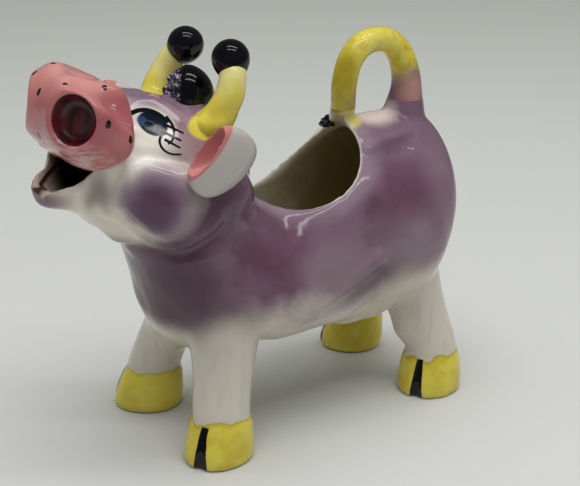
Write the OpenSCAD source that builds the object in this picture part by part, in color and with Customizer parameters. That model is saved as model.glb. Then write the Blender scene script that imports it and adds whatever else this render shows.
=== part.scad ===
// Cow creamer: a small glazed pottery jug in the shape of a lowing cow.
// Milk goes in through the oval hole in the back and pours out of the mouth.
// Millimetres. X runs to the cow's left, Y towards the tail, Z up.
// The origin is on the ground, under the middle of the jug.

/* [Stance] */
// Distance from front hooves to rear hooves
wheelbase = 85.5; // [78:0.5:94]
// Sideways distance of a front hoof from the middle
front_stance = 22.5; // [20:0.5:25]
// Sideways distance of a rear hoof from the middle
rear_stance = 22; // [20:0.5:25]
// Width of a hoof at the sole
hoof_w = 20.2; // [18:0.2:22]
// Height of the hooves
hoof_h = 13.5; // [10:0.5:17]
// Width of a leg above its hoof
leg_w = 17.5; // [15:0.5:20]
// Width of a front leg where it leaves the belly
shoulder_w = 22; // [19:0.5:25]
// Width of a rear leg where it leaves the belly
thigh_w = 20.5; // [18:0.5:24]

/* [Body] */
// Width of the barrel
body_w = 59; // [54:0.5:64]
// Length of the barrel behind the withers
body_l = 73.5; // [70:0.5:78]
// Height of the back at the tail
back_h = 94.5; // [90:0.5:99]
// Height of the back in front of the filling hole
withers_h = 75.5; // [72:0.5:79]
// Height of the belly over the ground
belly_h = 26.5; // [24:0.5:29]
// Distance of the withers behind the front hooves
withers_back = 27; // [25:0.5:29]
// Reach of the chest from the withers
chest_r = 53; // [51:0.5:55]
// Thickness of the pottery wall
wall_t = 3.2; // [2.4:0.1:4]

/* [Filling hole] */
// Length of the oval hole, along its slope
hole_l = 40; // [32:0.5:43]
// Width of the oval hole
hole_w = 36.5; // [28:0.5:38]
// Slope of the hole, up towards the tail
hole_tilt = 30; // [26:1:34]

/* [Neck and head] */
// Depth of the neck from nape to throat
neck_depth = 41; // [39:0.5:43]
// Width of the neck
neck_w = 50; // [46:0.5:54]
// Width of the head across the cheeks
head_w = 53; // [49:0.5:57]
// Height of the head from throat to poll
head_d = 50.5; // [48:0.5:53]
// Width across the front of the skull
snout_w = 37; // [34:0.5:40]

/* [Mouth and muzzle] */
// Reach of the pouring lip in front of the skull
lip_l = 21.5; // [19:0.5:24]
// Width of the open mouth
mouth_w = 27; // [23:0.5:30]
// Width of the muzzle
muzzle_w = 41; // [38:0.5:44]
// Height of the muzzle
muzzle_h = 29; // [26:0.5:32]
// Length of the muzzle
muzzle_l = 24.5; // [22:0.5:27]
// Width of a nostril cup
nostril_w = 16.5; // [13:0.5:18]
// Depth of a nostril cup
nostril_depth = 4.5; // [3:0.5:7]

/* [Horns and ears] */
// Width of the black balls on the horns
knob_d = 11.6; // [10:0.2:13]
// Thickness of a horn at its root
horn_d = 15; // [12:0.5:18]
// Thickness of a horn at its tip
horn_tip_d = 7.6; // [6:0.2:9]
// Width across the horns at their widest
horn_spread = 34.5; // [32:0.5:38]
// Width between the middles of the two balls
knob_gap = 26.2; // [23:0.2:29]
// Rise of a horn from its root to the middle of its ball
horn_rise = 21; // [18:0.5:24]
// Lean of a horn towards the tail
horn_back = 9.7; // [7:0.1:13]
// Length of an ear
ear_l = 24; // [21:0.5:27]
// Width of an ear
ear_w = 22; // [19:0.5:25]
// Thickness of an ear
ear_t = 9; // [7:0.5:11]
// Width across both ears
ear_spread = 76; // [72:0.5:80]
// Depth of the hollow in an ear
ear_scoop = 8; // [6:0.5:9]
// Width of the tuft of hair between the horns
forelock_w = 15.5; // [13:0.5:18]

/* [Tail handle] */
// Height of the tail loop over the back
tail_rise = 28.5; // [24:0.5:33]
// Length of the tail loop from its foot to its root
tail_span = 24.5; // [22:0.5:27]
// Thickness of the tail at the top of its loop
tail_d = 8.6; // [7:0.2:10]
// Thickness of the tail at its root
tail_root_d = 12; // [10:0.5:14]
// Thickness of the tuft at the end of the tail
tuft_d = 6; // [5:0.5:8]

/* [Hidden] */

// Sides of a ring round the barrel and head, and round the small pieces
shell_sides = 32;
limb_sides = 20;
muzzle_sides = 24;
ball_sides = 64;
// Steps of a spline between two stations
fine_steps = 2;
// Overrun of a cut past the face that it opens
cut_over = 2;

// Rounding of the nape and of the throat
nape_r = 4.5;
throat_r = 3;

// The flat front of the skull, ahead of the throat
face_l = 4.5;
// Tilt of the plane where the head sits on the neck
seat_tilt = 75;

// Places along the ground: the origin lies midway from the lip's tip to the rump
lip_reach_share = 0.96;
front_reach = (nape_r + neck_depth + throat_r) * sin(seat_tilt) + face_l + lip_l * lip_reach_share;
withers_y = (front_reach - body_l) / 2;
front_y = withers_y - withers_back;
rear_y = front_y + wheelbase;
// Height of the hindmost point of the rump, between belly and back
rump_height_share = 0.78;
rump_h = belly_h + (back_h - belly_h) * rump_height_share;
// Height of the widest part of the barrel between belly and back
waist_share = 0.42;
// Roundness of the rings: 2 is an ellipse, less is a sharper ridge
back_crown = 1.65;
belly_crown = 2.05;
head_crown = 2;
// Width of the barrel under the withers
withers_width_share = 0.97;

// Functions for lofted forms

// The vectors of a tilted plane: its up direction and the way it faces
function up_dir(tilt) = [0, sin(tilt), cos(tilt)];
function mix(a, b, share) = a + (b - a) * share;
function signed_pow(v, p) = sign(v) * pow(abs(v), p);

// One oval ring round centre c, with its own height above and below
function oval(c, u, v, half, up, down, sides, crown = 2, keel = 2) =
    [for (i = [0:sides - 1])
        let (t = 360 * i / sides, p = 2 / (sin(t) >= 0 ? crown : keel))
        c + half * signed_pow(cos(t), p) * u
            + (sin(t) >= 0 ? up : down) * signed_pow(sin(t), p) * v];

// A smooth curve through a list of numbers or rows
function curve_point(a, b, c, d, t) = 0.5 * (2 * b + (c - a) * t
    + (2 * a - 5 * b + 4 * c - d) * t * t + (3 * b - a - 3 * c + d) * t * t * t);
function smooth(rows, steps) = let (last = len(rows) - 1)
    [for (i = [0:last - 1]) for (j = [0:steps - 1])
        curve_point(rows[max(i - 1, 0)], rows[i], rows[i + 1], rows[min(i + 2, last)], j / steps),
    rows[last]];

// A closed skin over a list of rings that have the same number of points
module skin(rings) {
    n = len(rings[0]);
    m = len(rings);
    sides = [for (i = [0:m - 2]) for (j = [0:n - 1])
        let (a = i * n + j, b = i * n + (j + 1) % n)
        each [[a, a + n, b + n], [a, b + n, b]]];
    // Each end is closed by a strip across its ring
    cap = [for (j = [0:n / 2 - 2]) [j, j + 1, n - 2 - j, n - 1 - j]];
    end_cap = [for (q = cap) [for (k = [3:-1:0]) (m - 1) * n + q[k]]];
    polyhedron(points = [for (r = rings) each r], faces = concat(cap, sides, end_cap), convexity = 10);
}

// A round limb swept along rows of [x, y, z, radius], square to its path
function limb_rings(rows, side) = let (last = len(rows) - 1)
    [for (i = [0:last])
        let (a = rows[max(i - 1, 0)], b = rows[min(i + 1, last)],
            t = [b[0] - a[0], b[1] - a[1], b[2] - a[2]], d = t / norm(t),
            q = cross(d, side), v = q / norm(q), u = cross(v, d), r = rows[i][3])
        oval([rows[i][0], rows[i][1], rows[i][2]], u, v, r, r, r, limb_sides)];

// Barrel and neck

// Rows for the rump: along the barrel, width, rise over and drop under the rump's point
rump_shares = [
    [1, 0.14, 0.14, 0.10],
    [0.985, 0.42, 0.48, 0.28],
    [0.94, 0.69, 0.78, 0.53],
    [0.86, 0.88, 0.94, 0.78],
    [0.74, 0.97, 1, 0.94]];
// Rows for the saddle: along the barrel, width, rise from the withers to the back
saddle_shares = [
    [0.59, 1, 1],
    [0.45, 1, 0.92],
    [0.31, 0.99, 0.66],
    [0.16, 0.98, 0.30]];
// Rows for the chest: tilt as a share of the seat's, reach of the chest, width from body to neck
chest_shares = [
    [0.2, 0.975, 0.06],
    [0.4, 1, 0.22],
    [0.6, 0.965, 0.45],
    [0.8, 0.89, 0.72]];

// A row is [y, z, tilt, half width, height above, height below, roundness above, roundness below]
function upright_row(y, top, bottom, half) = let (z = mix(bottom, top, waist_share))
    [y, z, 0, half, top - z, z - bottom, back_crown, belly_crown];
function neck_row(tilt, reach, half, crown) =
    let (c = mix(reach, nape_r, waist_share), u = up_dir(tilt))
    [withers_y - c * u[1], withers_h + nape_r - c * u[2], tilt, half, c - nape_r, reach - c,
        crown, belly_crown];

barrel_rows = smooth(concat(
    [for (s = rump_shares) upright_row(withers_y + s[0] * body_l,
        mix(rump_h, back_h, s[2]), mix(rump_h, belly_h, s[3]), s[1] * body_w / 2)],
    [for (s = saddle_shares) upright_row(withers_y + s[0] * body_l,
        mix(withers_h, back_h, s[2]), belly_h, s[1] * body_w / 2)],
    [neck_row(0, withers_h + nape_r - belly_h, body_w / 2 * withers_width_share, back_crown)],
    [for (s = chest_shares) neck_row(s[0] * seat_tilt, s[1] * chest_r,
        mix(body_w, neck_w, s[2]) / 2, mix(back_crown, head_crown, s[0]))],
    [neck_row(seat_tilt, nape_r + neck_depth, neck_w / 2, head_crown)]), fine_steps);

// The ring of a row, drawn in by the wall where it is the inside
function row_ring(row, inset) = oval([0, row[0], row[1]], [1, 0, 0], up_dir(row[2]),
    max(row[3] - inset, row[3] / 4), max(row[4] - inset, row[4] / 4), max(row[5] - inset, row[5] / 4),
    shell_sides, row[6], row[7]);

module barrel_form() {
    skin([for (row = barrel_rows) row_ring(row, 0)]);
}

// Where along the barrel its inside starts to draw away from the rump
rump_turn_share = 0.7;
function rump_draw(row) = wall_t
    * max(0, ((row[0] - withers_y) / body_l - rump_turn_share) / (1 - rump_turn_share));

// The inside of the barrel, open at the neck's seat
module barrel_inside() {
    facing = [0, -cos(seat_tilt), sin(seat_tilt)];
    last = len(barrel_rows) - 1;
    skin(concat(
        [for (i = [1:last]) [for (p = row_ring(barrel_rows[i], wall_t))
            p - [0, rump_draw(barrel_rows[i]), 0]]],
        [[for (p = row_ring(barrel_rows[last], wall_t)) p + facing * cut_over]]));
}

// The filling hole
hole_along_share = 0.24;
hole_rise_share = 0.42;
hole_y = withers_y + hole_along_share * body_l;
hole_z = mix(withers_h, back_h, hole_rise_share);

module hole_cut() {
    translate([0, hole_y, hole_z])
        rotate([hole_tilt, 0, 0])
            translate([0, 0, -(hole_z - belly_h) / 2])
                linear_extrude(back_h - belly_h)
                    polygon([for (i = [0:shell_sides - 1]) let (t = 360 * i / shell_sides)
                        [hole_w / 2 * cos(t), hole_l / 2 * sin(t)]]);
}

module body_shell() {
    color("orchid")
        difference() {
            barrel_form();
            barrel_inside();
            hole_cut();
        }
}

// Head

// Place where the planes of the head meet, under the throat
throat_y = withers_y - (nape_r + neck_depth + throat_r) * sin(seat_tilt);
throat_z = withers_h + nape_r - (nape_r + neck_depth + throat_r) * cos(seat_tilt);
// Rise of the jaw from the throat to the skull's front
jaw_rise = 5;
skull_front_y = throat_y - face_l;
jaw_z = throat_z + throat_r + jaw_rise;
// Height of the roof of the mouth over the jaw
mouth_h = 19;

// Rows for the head: tilt, height, width, height of the widest part, fullness of the jowl
head_shares = [
    [0.94, 0.90, 0.97, 0.40, 0.2],
    [0.85, 0.905, 1, 0.38, 0.4],
    [0.72, 0.90, 1, 0.36, 0.7],
    [0.58, 0.91, 0.98, 0.34, 1],
    [0.43, 0.93, 0.96, 0.33, 1],
    [0.27, 0.92, 0.91, 0.33, 0.8],
    [0.12, 0.88, 0.82, 0.35, 0.4]];
jowl_crown = 2.6;

function head_row(tilt, height, half, waist, jowl) =
    let (c = throat_r + height * waist, u = up_dir(tilt))
    [throat_y + c * u[1], throat_z + c * u[2], tilt, half, height * (1 - waist), height * waist, head_crown,
        mix(belly_crown, jowl_crown, jowl)];

snout_height_share = 0.84;
snout_front_share = 0.93;
snout_waist_share = 0.37;
head_rows = smooth(concat(
    [head_row(seat_tilt, neck_depth, neck_w / 2, waist_share, 0)],
    [for (s = head_shares) head_row(s[0] * seat_tilt, s[1] * head_d, s[2] * head_w / 2, s[3], s[4])],
    [head_row(0, snout_height_share * head_d, snout_w / 2, snout_waist_share, 0)],
    [front_row()]), fine_steps);

// The flat front of the skull, which the lip and the muzzle sit against
function front_row() = let (h = snout_height_share * head_d - jaw_rise, low = h * snout_waist_share)
    [skull_front_y, jaw_z + low, 0, snout_w / 2 * snout_front_share,
        h - low, low, head_crown, belly_crown];

module head_form() {
    skin([for (row = head_rows) row_ring(row, 0)]);
}

// The throat passage, from the neck's seat to the mouth
module head_inside() {
    facing = [0, -cos(seat_tilt), sin(seat_tilt)];
    last = len(head_rows) - 1;
    mouth_z = jaw_z + wall_t + mouth_h / 2;
    mouth_ring = oval([0, skull_front_y, mouth_z], [1, 0, 0], [0, 0, 1],
        mouth_w / 2, mouth_h / 2, mouth_h / 2, shell_sides, head_crown, belly_crown);
    first = row_ring(head_rows[0], wall_t);
    skin(concat(
        [[for (q = first) q - facing * cut_over]],
        [for (i = [0:last - 2]) row_ring(head_rows[i], wall_t)],
        [mouth_ring],
        [[for (q = mouth_ring) q - [0, cut_over, 0]]]));
}

module head_shell() {
    color("thistle")
        difference() {
            head_form();
            head_inside();
        }
}

// Pouring lip

// The rim of the lip runs back to the sides of the mouth
rim_share = 1;
rim_z = jaw_z + wall_t + mouth_h * rim_share;
// Height where the muzzle rests on the mouth
mouth_top_share = 0.82;
mouth_top_z = jaw_z + wall_t + mouth_h * mouth_top_share;
lip_fall = 9.8;
// Rows along the lip: reach, half width, depth, fall of the rim
lip_shares = [
    [0, 1, 0.98, 0.04],
    [0.3, 0.88, 0.76, 0.3],
    [0.58, 0.68, 0.48, 0.6],
    [0.82, 0.5, 0.31, 0.83],
    [lip_reach_share, 0.32, 0.2, 0.94]];
jaw_half = mouth_w / 2 + wall_t;
jaw_depth = rim_z - jaw_z;
lip_rows = smooth([for (s = lip_shares)
    [skull_front_y - s[0] * lip_l, s[1] * jaw_half, s[2] * jaw_depth,
        rim_z - s[3] * lip_fall]], fine_steps);

// A trough's ring: round under the jaw one way and back inside it
function trough_ring(row, wall, sides) = concat(
    [for (i = [0:sides]) let (t = 180 + 180 * i / sides)
        [row[1] * cos(t), row[0], row[3] + row[2] * sin(t)]],
    [for (i = [sides:-1:0]) let (t = 180 + 180 * i / sides)
        [(row[1] - wall) * cos(t), row[0], row[3] + (row[2] - wall) * sin(t)]]);

module pouring_lip() {
    color("lavender")
        skin([for (row = lip_rows)
            trough_ring(row, min(wall_t, row[1] / 2, row[2] / 2), limb_sides)]);
}

// Muzzle

muzzle_seat_share = 0.28;
muzzle_y = skull_front_y - muzzle_l * muzzle_seat_share;
muzzle_z = mouth_top_z + muzzle_h / 2;
// Rows from one side of the muzzle to its middle: place across, size of the ring
muzzle_shares = [
    [1, 0.12],
    [0.96, 0.42],
    [0.85, 0.70],
    [0.69, 0.88],
    [0.5, 0.98],
    [0.3, 1],
    [0.12, 0.98]];
muzzle_waist_share = 0.965;
muzzle_rows = concat(
    [for (s = muzzle_shares) [-s[0] * muzzle_w / 2, s[1]]],
    [[0, muzzle_waist_share]],
    [for (i = [len(muzzle_shares) - 1:-1:0]) [muzzle_shares[i][0] * muzzle_w / 2, muzzle_shares[i][1]]]);

// A nostril is a round cup with a ledge, turned out to the side
nostril_side = 33;
nostril_up = 14;
nostril_place_share = 0.48;
// Rows of the cup: radius and height over its floor
nostril_shares = [[0, 0], [0.6, 0], [0.82, 0.3], [0.86, 0.62], [1, 0.75]];
module nostril_cup(side) {
    r = nostril_w / 2;
    open_end = nostril_depth + muzzle_l / 2;
    translate([side * nostril_place_share * muzzle_w / 2, muzzle_y, muzzle_z])
        rotate([90 - nostril_up, 0, side * nostril_side])
            translate([0, 0, muzzle_l / 2 - nostril_depth])
                rotate_extrude()
                    polygon(concat([for (s = nostril_shares) [r * s[0], nostril_depth * s[1]]],
                        [[r, open_end], [0, open_end]]));
}

module muzzle() {
    color("lightpink")
        difference() {
            skin([for (row = smooth(muzzle_rows, fine_steps))
                oval([row[0], muzzle_y, muzzle_z], [0, 1, 0], [0, 0, 1], row[1] * muzzle_l / 2,
                    row[1] * muzzle_h / 2, row[1] * muzzle_h / 2, muzzle_sides)]);
            head_form();
            pouring_lip();
            for (side = [-1, 1]) nostril_cup(side);
        }
}

// Horns, balls, forelock and ears

// Rows along a horn: side, way back and way up to the ball, thickness from root to tip
horn_shares = [
    [0.6, 0.04, -0.12, 0],
    [0.82, 0.18, 0.12, 0.38],
    [0.97, 0.4, 0.38, 0.64],
    [1, 0.67, 0.66, 0.76],
    [0.9, 0.87, 0.87, 0.88],
    [0, 1, 1, 1]];
// The horns' roots lie inside the head, on a plane tilted about the throat
horn_tilt = 34;
horn_root_share = 0.736;
horn_root_r = throat_r + horn_root_share * head_d;
horn_root_y = throat_y + horn_root_r * sin(horn_tilt);
horn_root_z = throat_z + horn_root_r * cos(horn_tilt);
knob_y = horn_root_y + horn_back;
knob_h = horn_root_z + horn_rise;
function horn_path(side) = [for (s = horn_shares)
    [side * (s[2] == 1 ? knob_gap / 2 : s[0] * horn_spread / 2), mix(horn_root_y, knob_y, s[1]),
        mix(horn_root_z, knob_h, s[2]), mix(horn_d, horn_tip_d, s[3]) / 2]];

module horn_form(side) {
    skin(limb_rings(smooth(horn_path(side), fine_steps), [0, 1, 0]));
}
module horn(side) {
    color("khaki")
        difference() {
            horn_form(side);
            head_form();
            translate([side * knob_gap / 2, knob_y, knob_h]) sphere(d = knob_d, $fn = ball_sides);
        }
}
module left_horn() { horn(1); }
module right_horn() { horn(-1); }
module horn_knob(side) {
    color("black")
        translate([side * knob_gap / 2, knob_y, knob_h]) sphere(d = knob_d, $fn = ball_sides);
}
module left_horn_knob() { horn_knob(1); }
module right_horn_knob() { horn_knob(-1); }

// Forelock: a smooth dome of hair between the horns
forelock_h = 10.8;
// The forelock's foot over and behind the horns' roots
forelock_up = 7;
forelock_back = 2;
forelock_shares = [[0, 0.94], [0.25, 1], [0.55, 0.92], [0.8, 0.66], [0.95, 0.34], [1, 0.12]];
forelock_y = horn_root_y + forelock_back;
forelock_z = horn_root_z + forelock_up;
module forelock() {
    color("black")
        difference() {
            skin([for (s = forelock_shares)
                oval([0, forelock_y, forelock_z + s[0] * forelock_h], [1, 0, 0], [0, 1, 0],
                    s[1] * forelock_w / 2, s[1] * forelock_w / 2, s[1] * forelock_w / 2, limb_sides)]);
            head_form();
            for (side = [-1, 1]) horn_form(side);
        }
}

// Ears: leaves that hang from the sides of the head, hollow in front
// Rows along an ear: length, width, thickness
ear_shares = [
    [0, 0.25, 0.5], [0.1, 0.62, 0.8], [0.3, 0.93, 1], [0.55, 1, 1],
    [0.78, 0.86, 0.84], [0.93, 0.56, 0.6], [1, 0.2, 0.28]];
ear_lean = 26;
ear_turn = 10;
// An ear's middle in front of and under the horn's root, and in from its outer side
ear_ahead = 4;
ear_drop = 3.5;
ear_tuck = 3;
// Size of the hollow against the ear
ear_hollow_share = 0.72;
ear_y = horn_root_y - ear_ahead;
ear_z = horn_root_z - ear_drop;
module ear_form() {
    skin([for (s = smooth(ear_shares, fine_steps))
        oval([0, 0, (s[0] - 0.5) * ear_l], [1, 0, 0], [0, 1, 0],
            s[2] * ear_t / 2, s[1] * ear_w / 2, s[1] * ear_w / 2, limb_sides)]);
}
module place_ear(side) {
    mirror([side < 0 ? 1 : 0, 0, 0])
        translate([ear_spread / 2 - ear_t / 2 - ear_tuck, ear_y, ear_z])
            rotate([-ear_lean, ear_lean / 2, ear_turn])
                children();
}
module ear(side) {
    color("mistyrose")
        difference() {
            place_ear(side)
                difference() {
                    ear_form();
                    translate([0, ear_scoop - (1 + ear_hollow_share) * ear_w / 2, 0])
                        scale(ear_hollow_share) ear_form();
                }
            head_form();
            horn_form(side);
        }
}
module left_ear() { ear(1); }
module right_ear() { ear(-1); }

// Tail

// The foot of the loop stands behind the rear edge of the filling hole
tail_foot_gap = 2.3;
tail_foot_y = hole_y + hole_l / 2 * cos(hole_tilt) + tail_foot_gap;
// Rows along the tail: way back from foot to root, height, thickness from tail to root
tail_shares = [
    [0.98, -0.4, 2.5],
    [1.0, -0.12, 1.9],
    [1.02, 0.06, 1.3],
    [1.03, 0.2, 0.8],
    [1.03, 0.4, 0.45],
    [0.93, 0.72, 0.18],
    [0.72, 0.94, 0.04],
    [0.47, 1, 0],
    [0.22, 0.93, 0],
    [0.04, 0.72, 0],
    [-0.04, 0.40, 0],
    [-0.05, 0.14, 0]];
tail_arch_h = tail_rise - tail_d / 2;
// The end of the tail curls to the cow's right: rows of way right, forward, down, thickness
curl_w = 7;
curl_shares = [[0.3, 0.06, 0.06, 0.98], [0.75, 0.2, 0.32, 0.85]];
curl_dir = [1, 0.3, 0];
tail_path = concat(
    [for (s = tail_shares) [0, tail_foot_y + s[0] * tail_span, back_h + s[1] * tail_arch_h,
        mix(tail_d, tail_root_d, s[2]) / 2]],
    [for (s = curl_shares) [-s[0] * curl_w, tail_foot_y - s[1] * curl_w, back_h - s[2] * curl_w,
        s[3] * tail_d / 2]]);
module tail_form() {
    skin(limb_rings(smooth(tail_path, fine_steps), curl_dir));
}
module tail_handle() {
    color("khaki")
        difference() {
            tail_form();
            barrel_form();
        }
}

// Tuft: the tip of the tail, laid along the rim of the hole on the right side
tuft_side = 4.9;
tuft_ahead = 2.1;
tuft_fall = 2.45;
// Rows along the tuft: way to its tip, thickness
tuft_shares = [[-0.2, 0.9], [0.1, 1], [0.45, 0.85], [0.75, 0.55], [1, 0.2]];
module tail_tuft() {
    tip = tail_path[len(tail_path) - 1];
    color("black")
        difference() {
            skin(limb_rings([for (s = tuft_shares)
                [tip[0] - s[0] * tuft_side, tip[1] - s[0] * tuft_ahead, tip[2] - s[0] * tuft_fall,
                    s[1] * tuft_d / 2]], curl_dir));
            barrel_form();
            tail_form();
        }
}

// Legs and hooves

// The toes point out, and the ankles stand behind the middle of the soles
toe_l = 1.6;
toe_turn = 28;
ankle_back = 1.6;
// A leg ends inside the barrel
leg_top_share = 0.32;
leg_top = mix(belly_h, back_h, leg_top_share);
// Rows of a leg: height up to the body, thickness from ankle to thigh, lean inwards
// The front right leg leans in more, as the jug was modelled by hand
leg_shares = [
    [0, 0, 0], [0.14, 0.03, 0.12], [0.3, 0.12, 0.32], [0.48, 0.42, 0.6],
    [0.66, 0.8, 0.82], [0.84, 1, 0.95], [1, 0.9, 1]];
leg_lean = 9;
far_lean = 12;
// Depth of a leg against its width
leg_depth_share = 1.05;
// Way of a leg towards the tail on its way up
front_back = 8;
rear_back = -5;
module leg_form(x, y, back, lean, top_w) {
    side = sign(x);
    skin([for (s = smooth(leg_shares, fine_steps))
        let (r = mix(leg_w, top_w, s[1]) / 2)
        oval([x - side * (s[2] * lean + ankle_back * sin(toe_turn)),
            y + s[2] * back + ankle_back * cos(toe_turn), mix(hoof_h, leg_top, s[0])],
            [1, 0, 0], [0, 1, 0], r, r * leg_depth_share, r * leg_depth_share, limb_sides)]);
}
module leg(x, y, back, lean, top_w) {
    color("white")
        difference() {
            leg_form(x, y, back, lean, top_w);
            barrel_form();
        }
}
module front_left_leg() { leg(front_stance, front_y, front_back, leg_lean, shoulder_w); }
module front_right_leg() { leg(-front_stance, front_y, front_back, far_lean, shoulder_w); }
module rear_left_leg() { leg(rear_stance, rear_y, rear_back, leg_lean, thigh_w); }
module rear_right_leg() { leg(-rear_stance, rear_y, rear_back, leg_lean, thigh_w); }

// Rows of a hoof: height, width from ankle to sole, reach of the toe
hoof_shares = [[0, 0.94, 0.9], [0.08, 1, 1], [0.35, 0.95, 0.92], [0.7, 0.55, 0.42], [1, 0, 0]];
// The cleft in the toe, which runs out towards the ankle
cleft_w = 3.2;
cleft_depth = 2.4;
module hoof_form() {
    skin([for (s = hoof_shares)
        let (r = mix(leg_w, hoof_w, s[1]) / 2)
        oval([0, s[0] * ankle_back, s[0] * hoof_h], [-1, 0, 0], [0, -1, 0],
            r, r + s[2] * toe_l, r, limb_sides)]);
}
module cleft_cut() {
    translate([0, cleft_depth - hoof_w / 2 - toe_l, -cut_over])
        linear_extrude(hoof_h + cut_over)
            polygon([[0, 0], [-cleft_w / 2, -cleft_depth], [-cleft_w / 2, -cleft_depth - cut_over],
                [cleft_w / 2, -cleft_depth - cut_over], [cleft_w / 2, -cleft_depth]]);
}
module hoof(x, y) {
    color("gold")
        translate([x, y, 0])
            rotate([0, 0, sign(x) * toe_turn])
                difference() {
                    hoof_form();
                    cleft_cut();
                }
}
module front_left_hoof() { hoof(front_stance, front_y); }
module front_right_hoof() { hoof(-front_stance, front_y); }
module rear_left_hoof() { hoof(rear_stance, rear_y); }
module rear_right_hoof() { hoof(-rear_stance, rear_y); }

body_shell();
head_shell();
pouring_lip();
muzzle();
left_horn();
right_horn();
left_horn_knob();
right_horn_knob();
left_ear();
right_ear();
forelock();
tail_handle();
tail_tuft();
front_left_leg();
front_right_leg();
rear_left_leg();
rear_right_leg();
front_left_hoof();
front_right_hoof();
rear_left_hoof();
rear_right_hoof();
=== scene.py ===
import math
import bpy
import bmesh
import numpy as np
from mathutils import Matrix, Vector, noise


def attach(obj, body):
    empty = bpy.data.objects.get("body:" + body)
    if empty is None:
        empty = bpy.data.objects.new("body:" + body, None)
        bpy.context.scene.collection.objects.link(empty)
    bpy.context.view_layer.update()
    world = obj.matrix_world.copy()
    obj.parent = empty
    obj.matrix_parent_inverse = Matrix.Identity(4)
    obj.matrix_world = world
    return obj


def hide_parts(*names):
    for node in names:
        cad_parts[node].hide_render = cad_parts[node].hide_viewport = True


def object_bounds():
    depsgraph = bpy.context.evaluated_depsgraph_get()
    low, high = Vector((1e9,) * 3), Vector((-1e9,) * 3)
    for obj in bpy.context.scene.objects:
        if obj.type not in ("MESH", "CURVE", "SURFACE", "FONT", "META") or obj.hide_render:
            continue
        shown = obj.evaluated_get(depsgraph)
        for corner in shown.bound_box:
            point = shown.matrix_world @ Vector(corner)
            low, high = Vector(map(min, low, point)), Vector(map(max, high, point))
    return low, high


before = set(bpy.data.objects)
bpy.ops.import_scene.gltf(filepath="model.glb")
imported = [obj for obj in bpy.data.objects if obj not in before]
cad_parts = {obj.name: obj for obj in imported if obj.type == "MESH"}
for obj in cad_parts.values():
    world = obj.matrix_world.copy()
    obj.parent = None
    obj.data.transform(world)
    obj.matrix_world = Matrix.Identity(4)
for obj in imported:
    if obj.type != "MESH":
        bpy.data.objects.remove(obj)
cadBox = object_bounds()
mm = 0.001
scene = bpy.context.scene

# The camera stands where the photograph was taken from
camera = {"eye": (319.7, -204.3, 194.6), "target": (-0.87, 15.0, 54.37), "lens": 77.56}


def makeCamera(values):
    data = bpy.data.cameras.new("camera")
    data.lens = values["lens"]
    data.sensor_width = 36
    data.clip_start, data.clip_end = 0.01, 20
    cam = bpy.data.objects.new("camera", data)
    scene.collection.objects.link(cam)
    eye, target = Vector(values["eye"]) * mm, Vector(values["target"]) * mm
    cam.location = eye
    cam.rotation_mode = "QUATERNION"
    cam.rotation_quaternion = (target - eye).to_track_quat("-Z", "Y")
    scene.camera = cam


makeCamera(camera)
scene.view_settings.view_transform = "Standard"

# small helpers for nodes


def newMaterial(name):
    mat = bpy.data.materials.new(name)
    mat.use_nodes = True
    nodes = mat.node_tree.nodes
    shader = next(n for n in nodes if n.type == "BSDF_PRINCIPLED")
    return mat, mat.node_tree, shader


def add(tree, kind, **settings):
    node = tree.nodes.new(kind)
    for key, value in settings.items():
        if key.startswith("in_"):
            node.inputs[int(key[3:])].default_value = value
        else:
            setattr(node, key, value)
    return node


def link(tree, source, target):
    tree.links.new(source, target)


def math2(tree, operation, a, b=None, c=None, clamp=False):
    node = tree.nodes.new("ShaderNodeMath")
    node.operation = operation
    node.use_clamp = clamp
    for i, value in enumerate((a, b, c)):
        if value is None:
            continue
        if isinstance(value, (int, float)):
            node.inputs[i].default_value = value
        else:
            tree.links.new(value, node.inputs[i])
    return node.outputs[0]


def vec2(tree, operation, a, b=None, scale=None):
    node = tree.nodes.new("ShaderNodeVectorMath")
    node.operation = operation
    for i, value in enumerate((a, b)):
        if value is None:
            continue
        if isinstance(value, (tuple, Vector)):
            node.inputs[i].default_value = value
        else:
            tree.links.new(value, node.inputs[i])
    if scale is not None:
        if isinstance(scale, (int, float)):
            node.inputs["Scale"].default_value = scale
        else:
            tree.links.new(scale, node.inputs["Scale"])
    return node.outputs["Value"] if operation in ("LENGTH", "DOT_PRODUCT", "DISTANCE") else node.outputs[0]


def mixColour(tree, mask, under, over):
    node = tree.nodes.new("ShaderNodeMix")
    node.data_type = "RGBA"
    sockets = {"under": node.inputs[6], "over": node.inputs[7]}
    for key, value in (("under", under), ("over", over)):
        if isinstance(value, tuple):
            sockets[key].default_value = value
        else:
            tree.links.new(value, sockets[key])
    if isinstance(mask, (int, float)):
        node.inputs[0].default_value = mask
    else:
        tree.links.new(mask, node.inputs[0])
    return node.outputs[2]


def ease(tree, value, low, high):
    node = tree.nodes.new("ShaderNodeMapRange")
    node.interpolation_type = "SMOOTHSTEP"
    tree.links.new(value, node.inputs[0])
    for i, v in ((1, low), (2, high)):
        if isinstance(v, (int, float)):
            node.inputs[i].default_value = v
        else:
            tree.links.new(v, node.inputs[i])
    return node.outputs[0]


def tone(red, green, blue):
    # an sRGB colour, 0 to 255, as Blender's linear one
    def linear(v):
        v = v / 255
        return v / 12.92 if v <= 0.04045 else ((v + 0.055) / 1.055) ** 2.4
    return (linear(red), linear(green), linear(blue), 1.0)


def newGroup(name, inputs, outputs):
    group = bpy.data.node_groups.new(name, "ShaderNodeTree")
    kinds = {"f": "NodeSocketFloat", "v": "NodeSocketVector", "c": "NodeSocketColor"}
    for label, kind, value in inputs:
        socket = group.interface.new_socket(label, in_out="INPUT", socket_type=kinds[kind])
        socket.default_value = value
    for label, kind in outputs:
        group.interface.new_socket(label, in_out="OUTPUT", socket_type=kinds[kind])
    return group, group.nodes.new("NodeGroupInput"), group.nodes.new("NodeGroupOutput")


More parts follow.
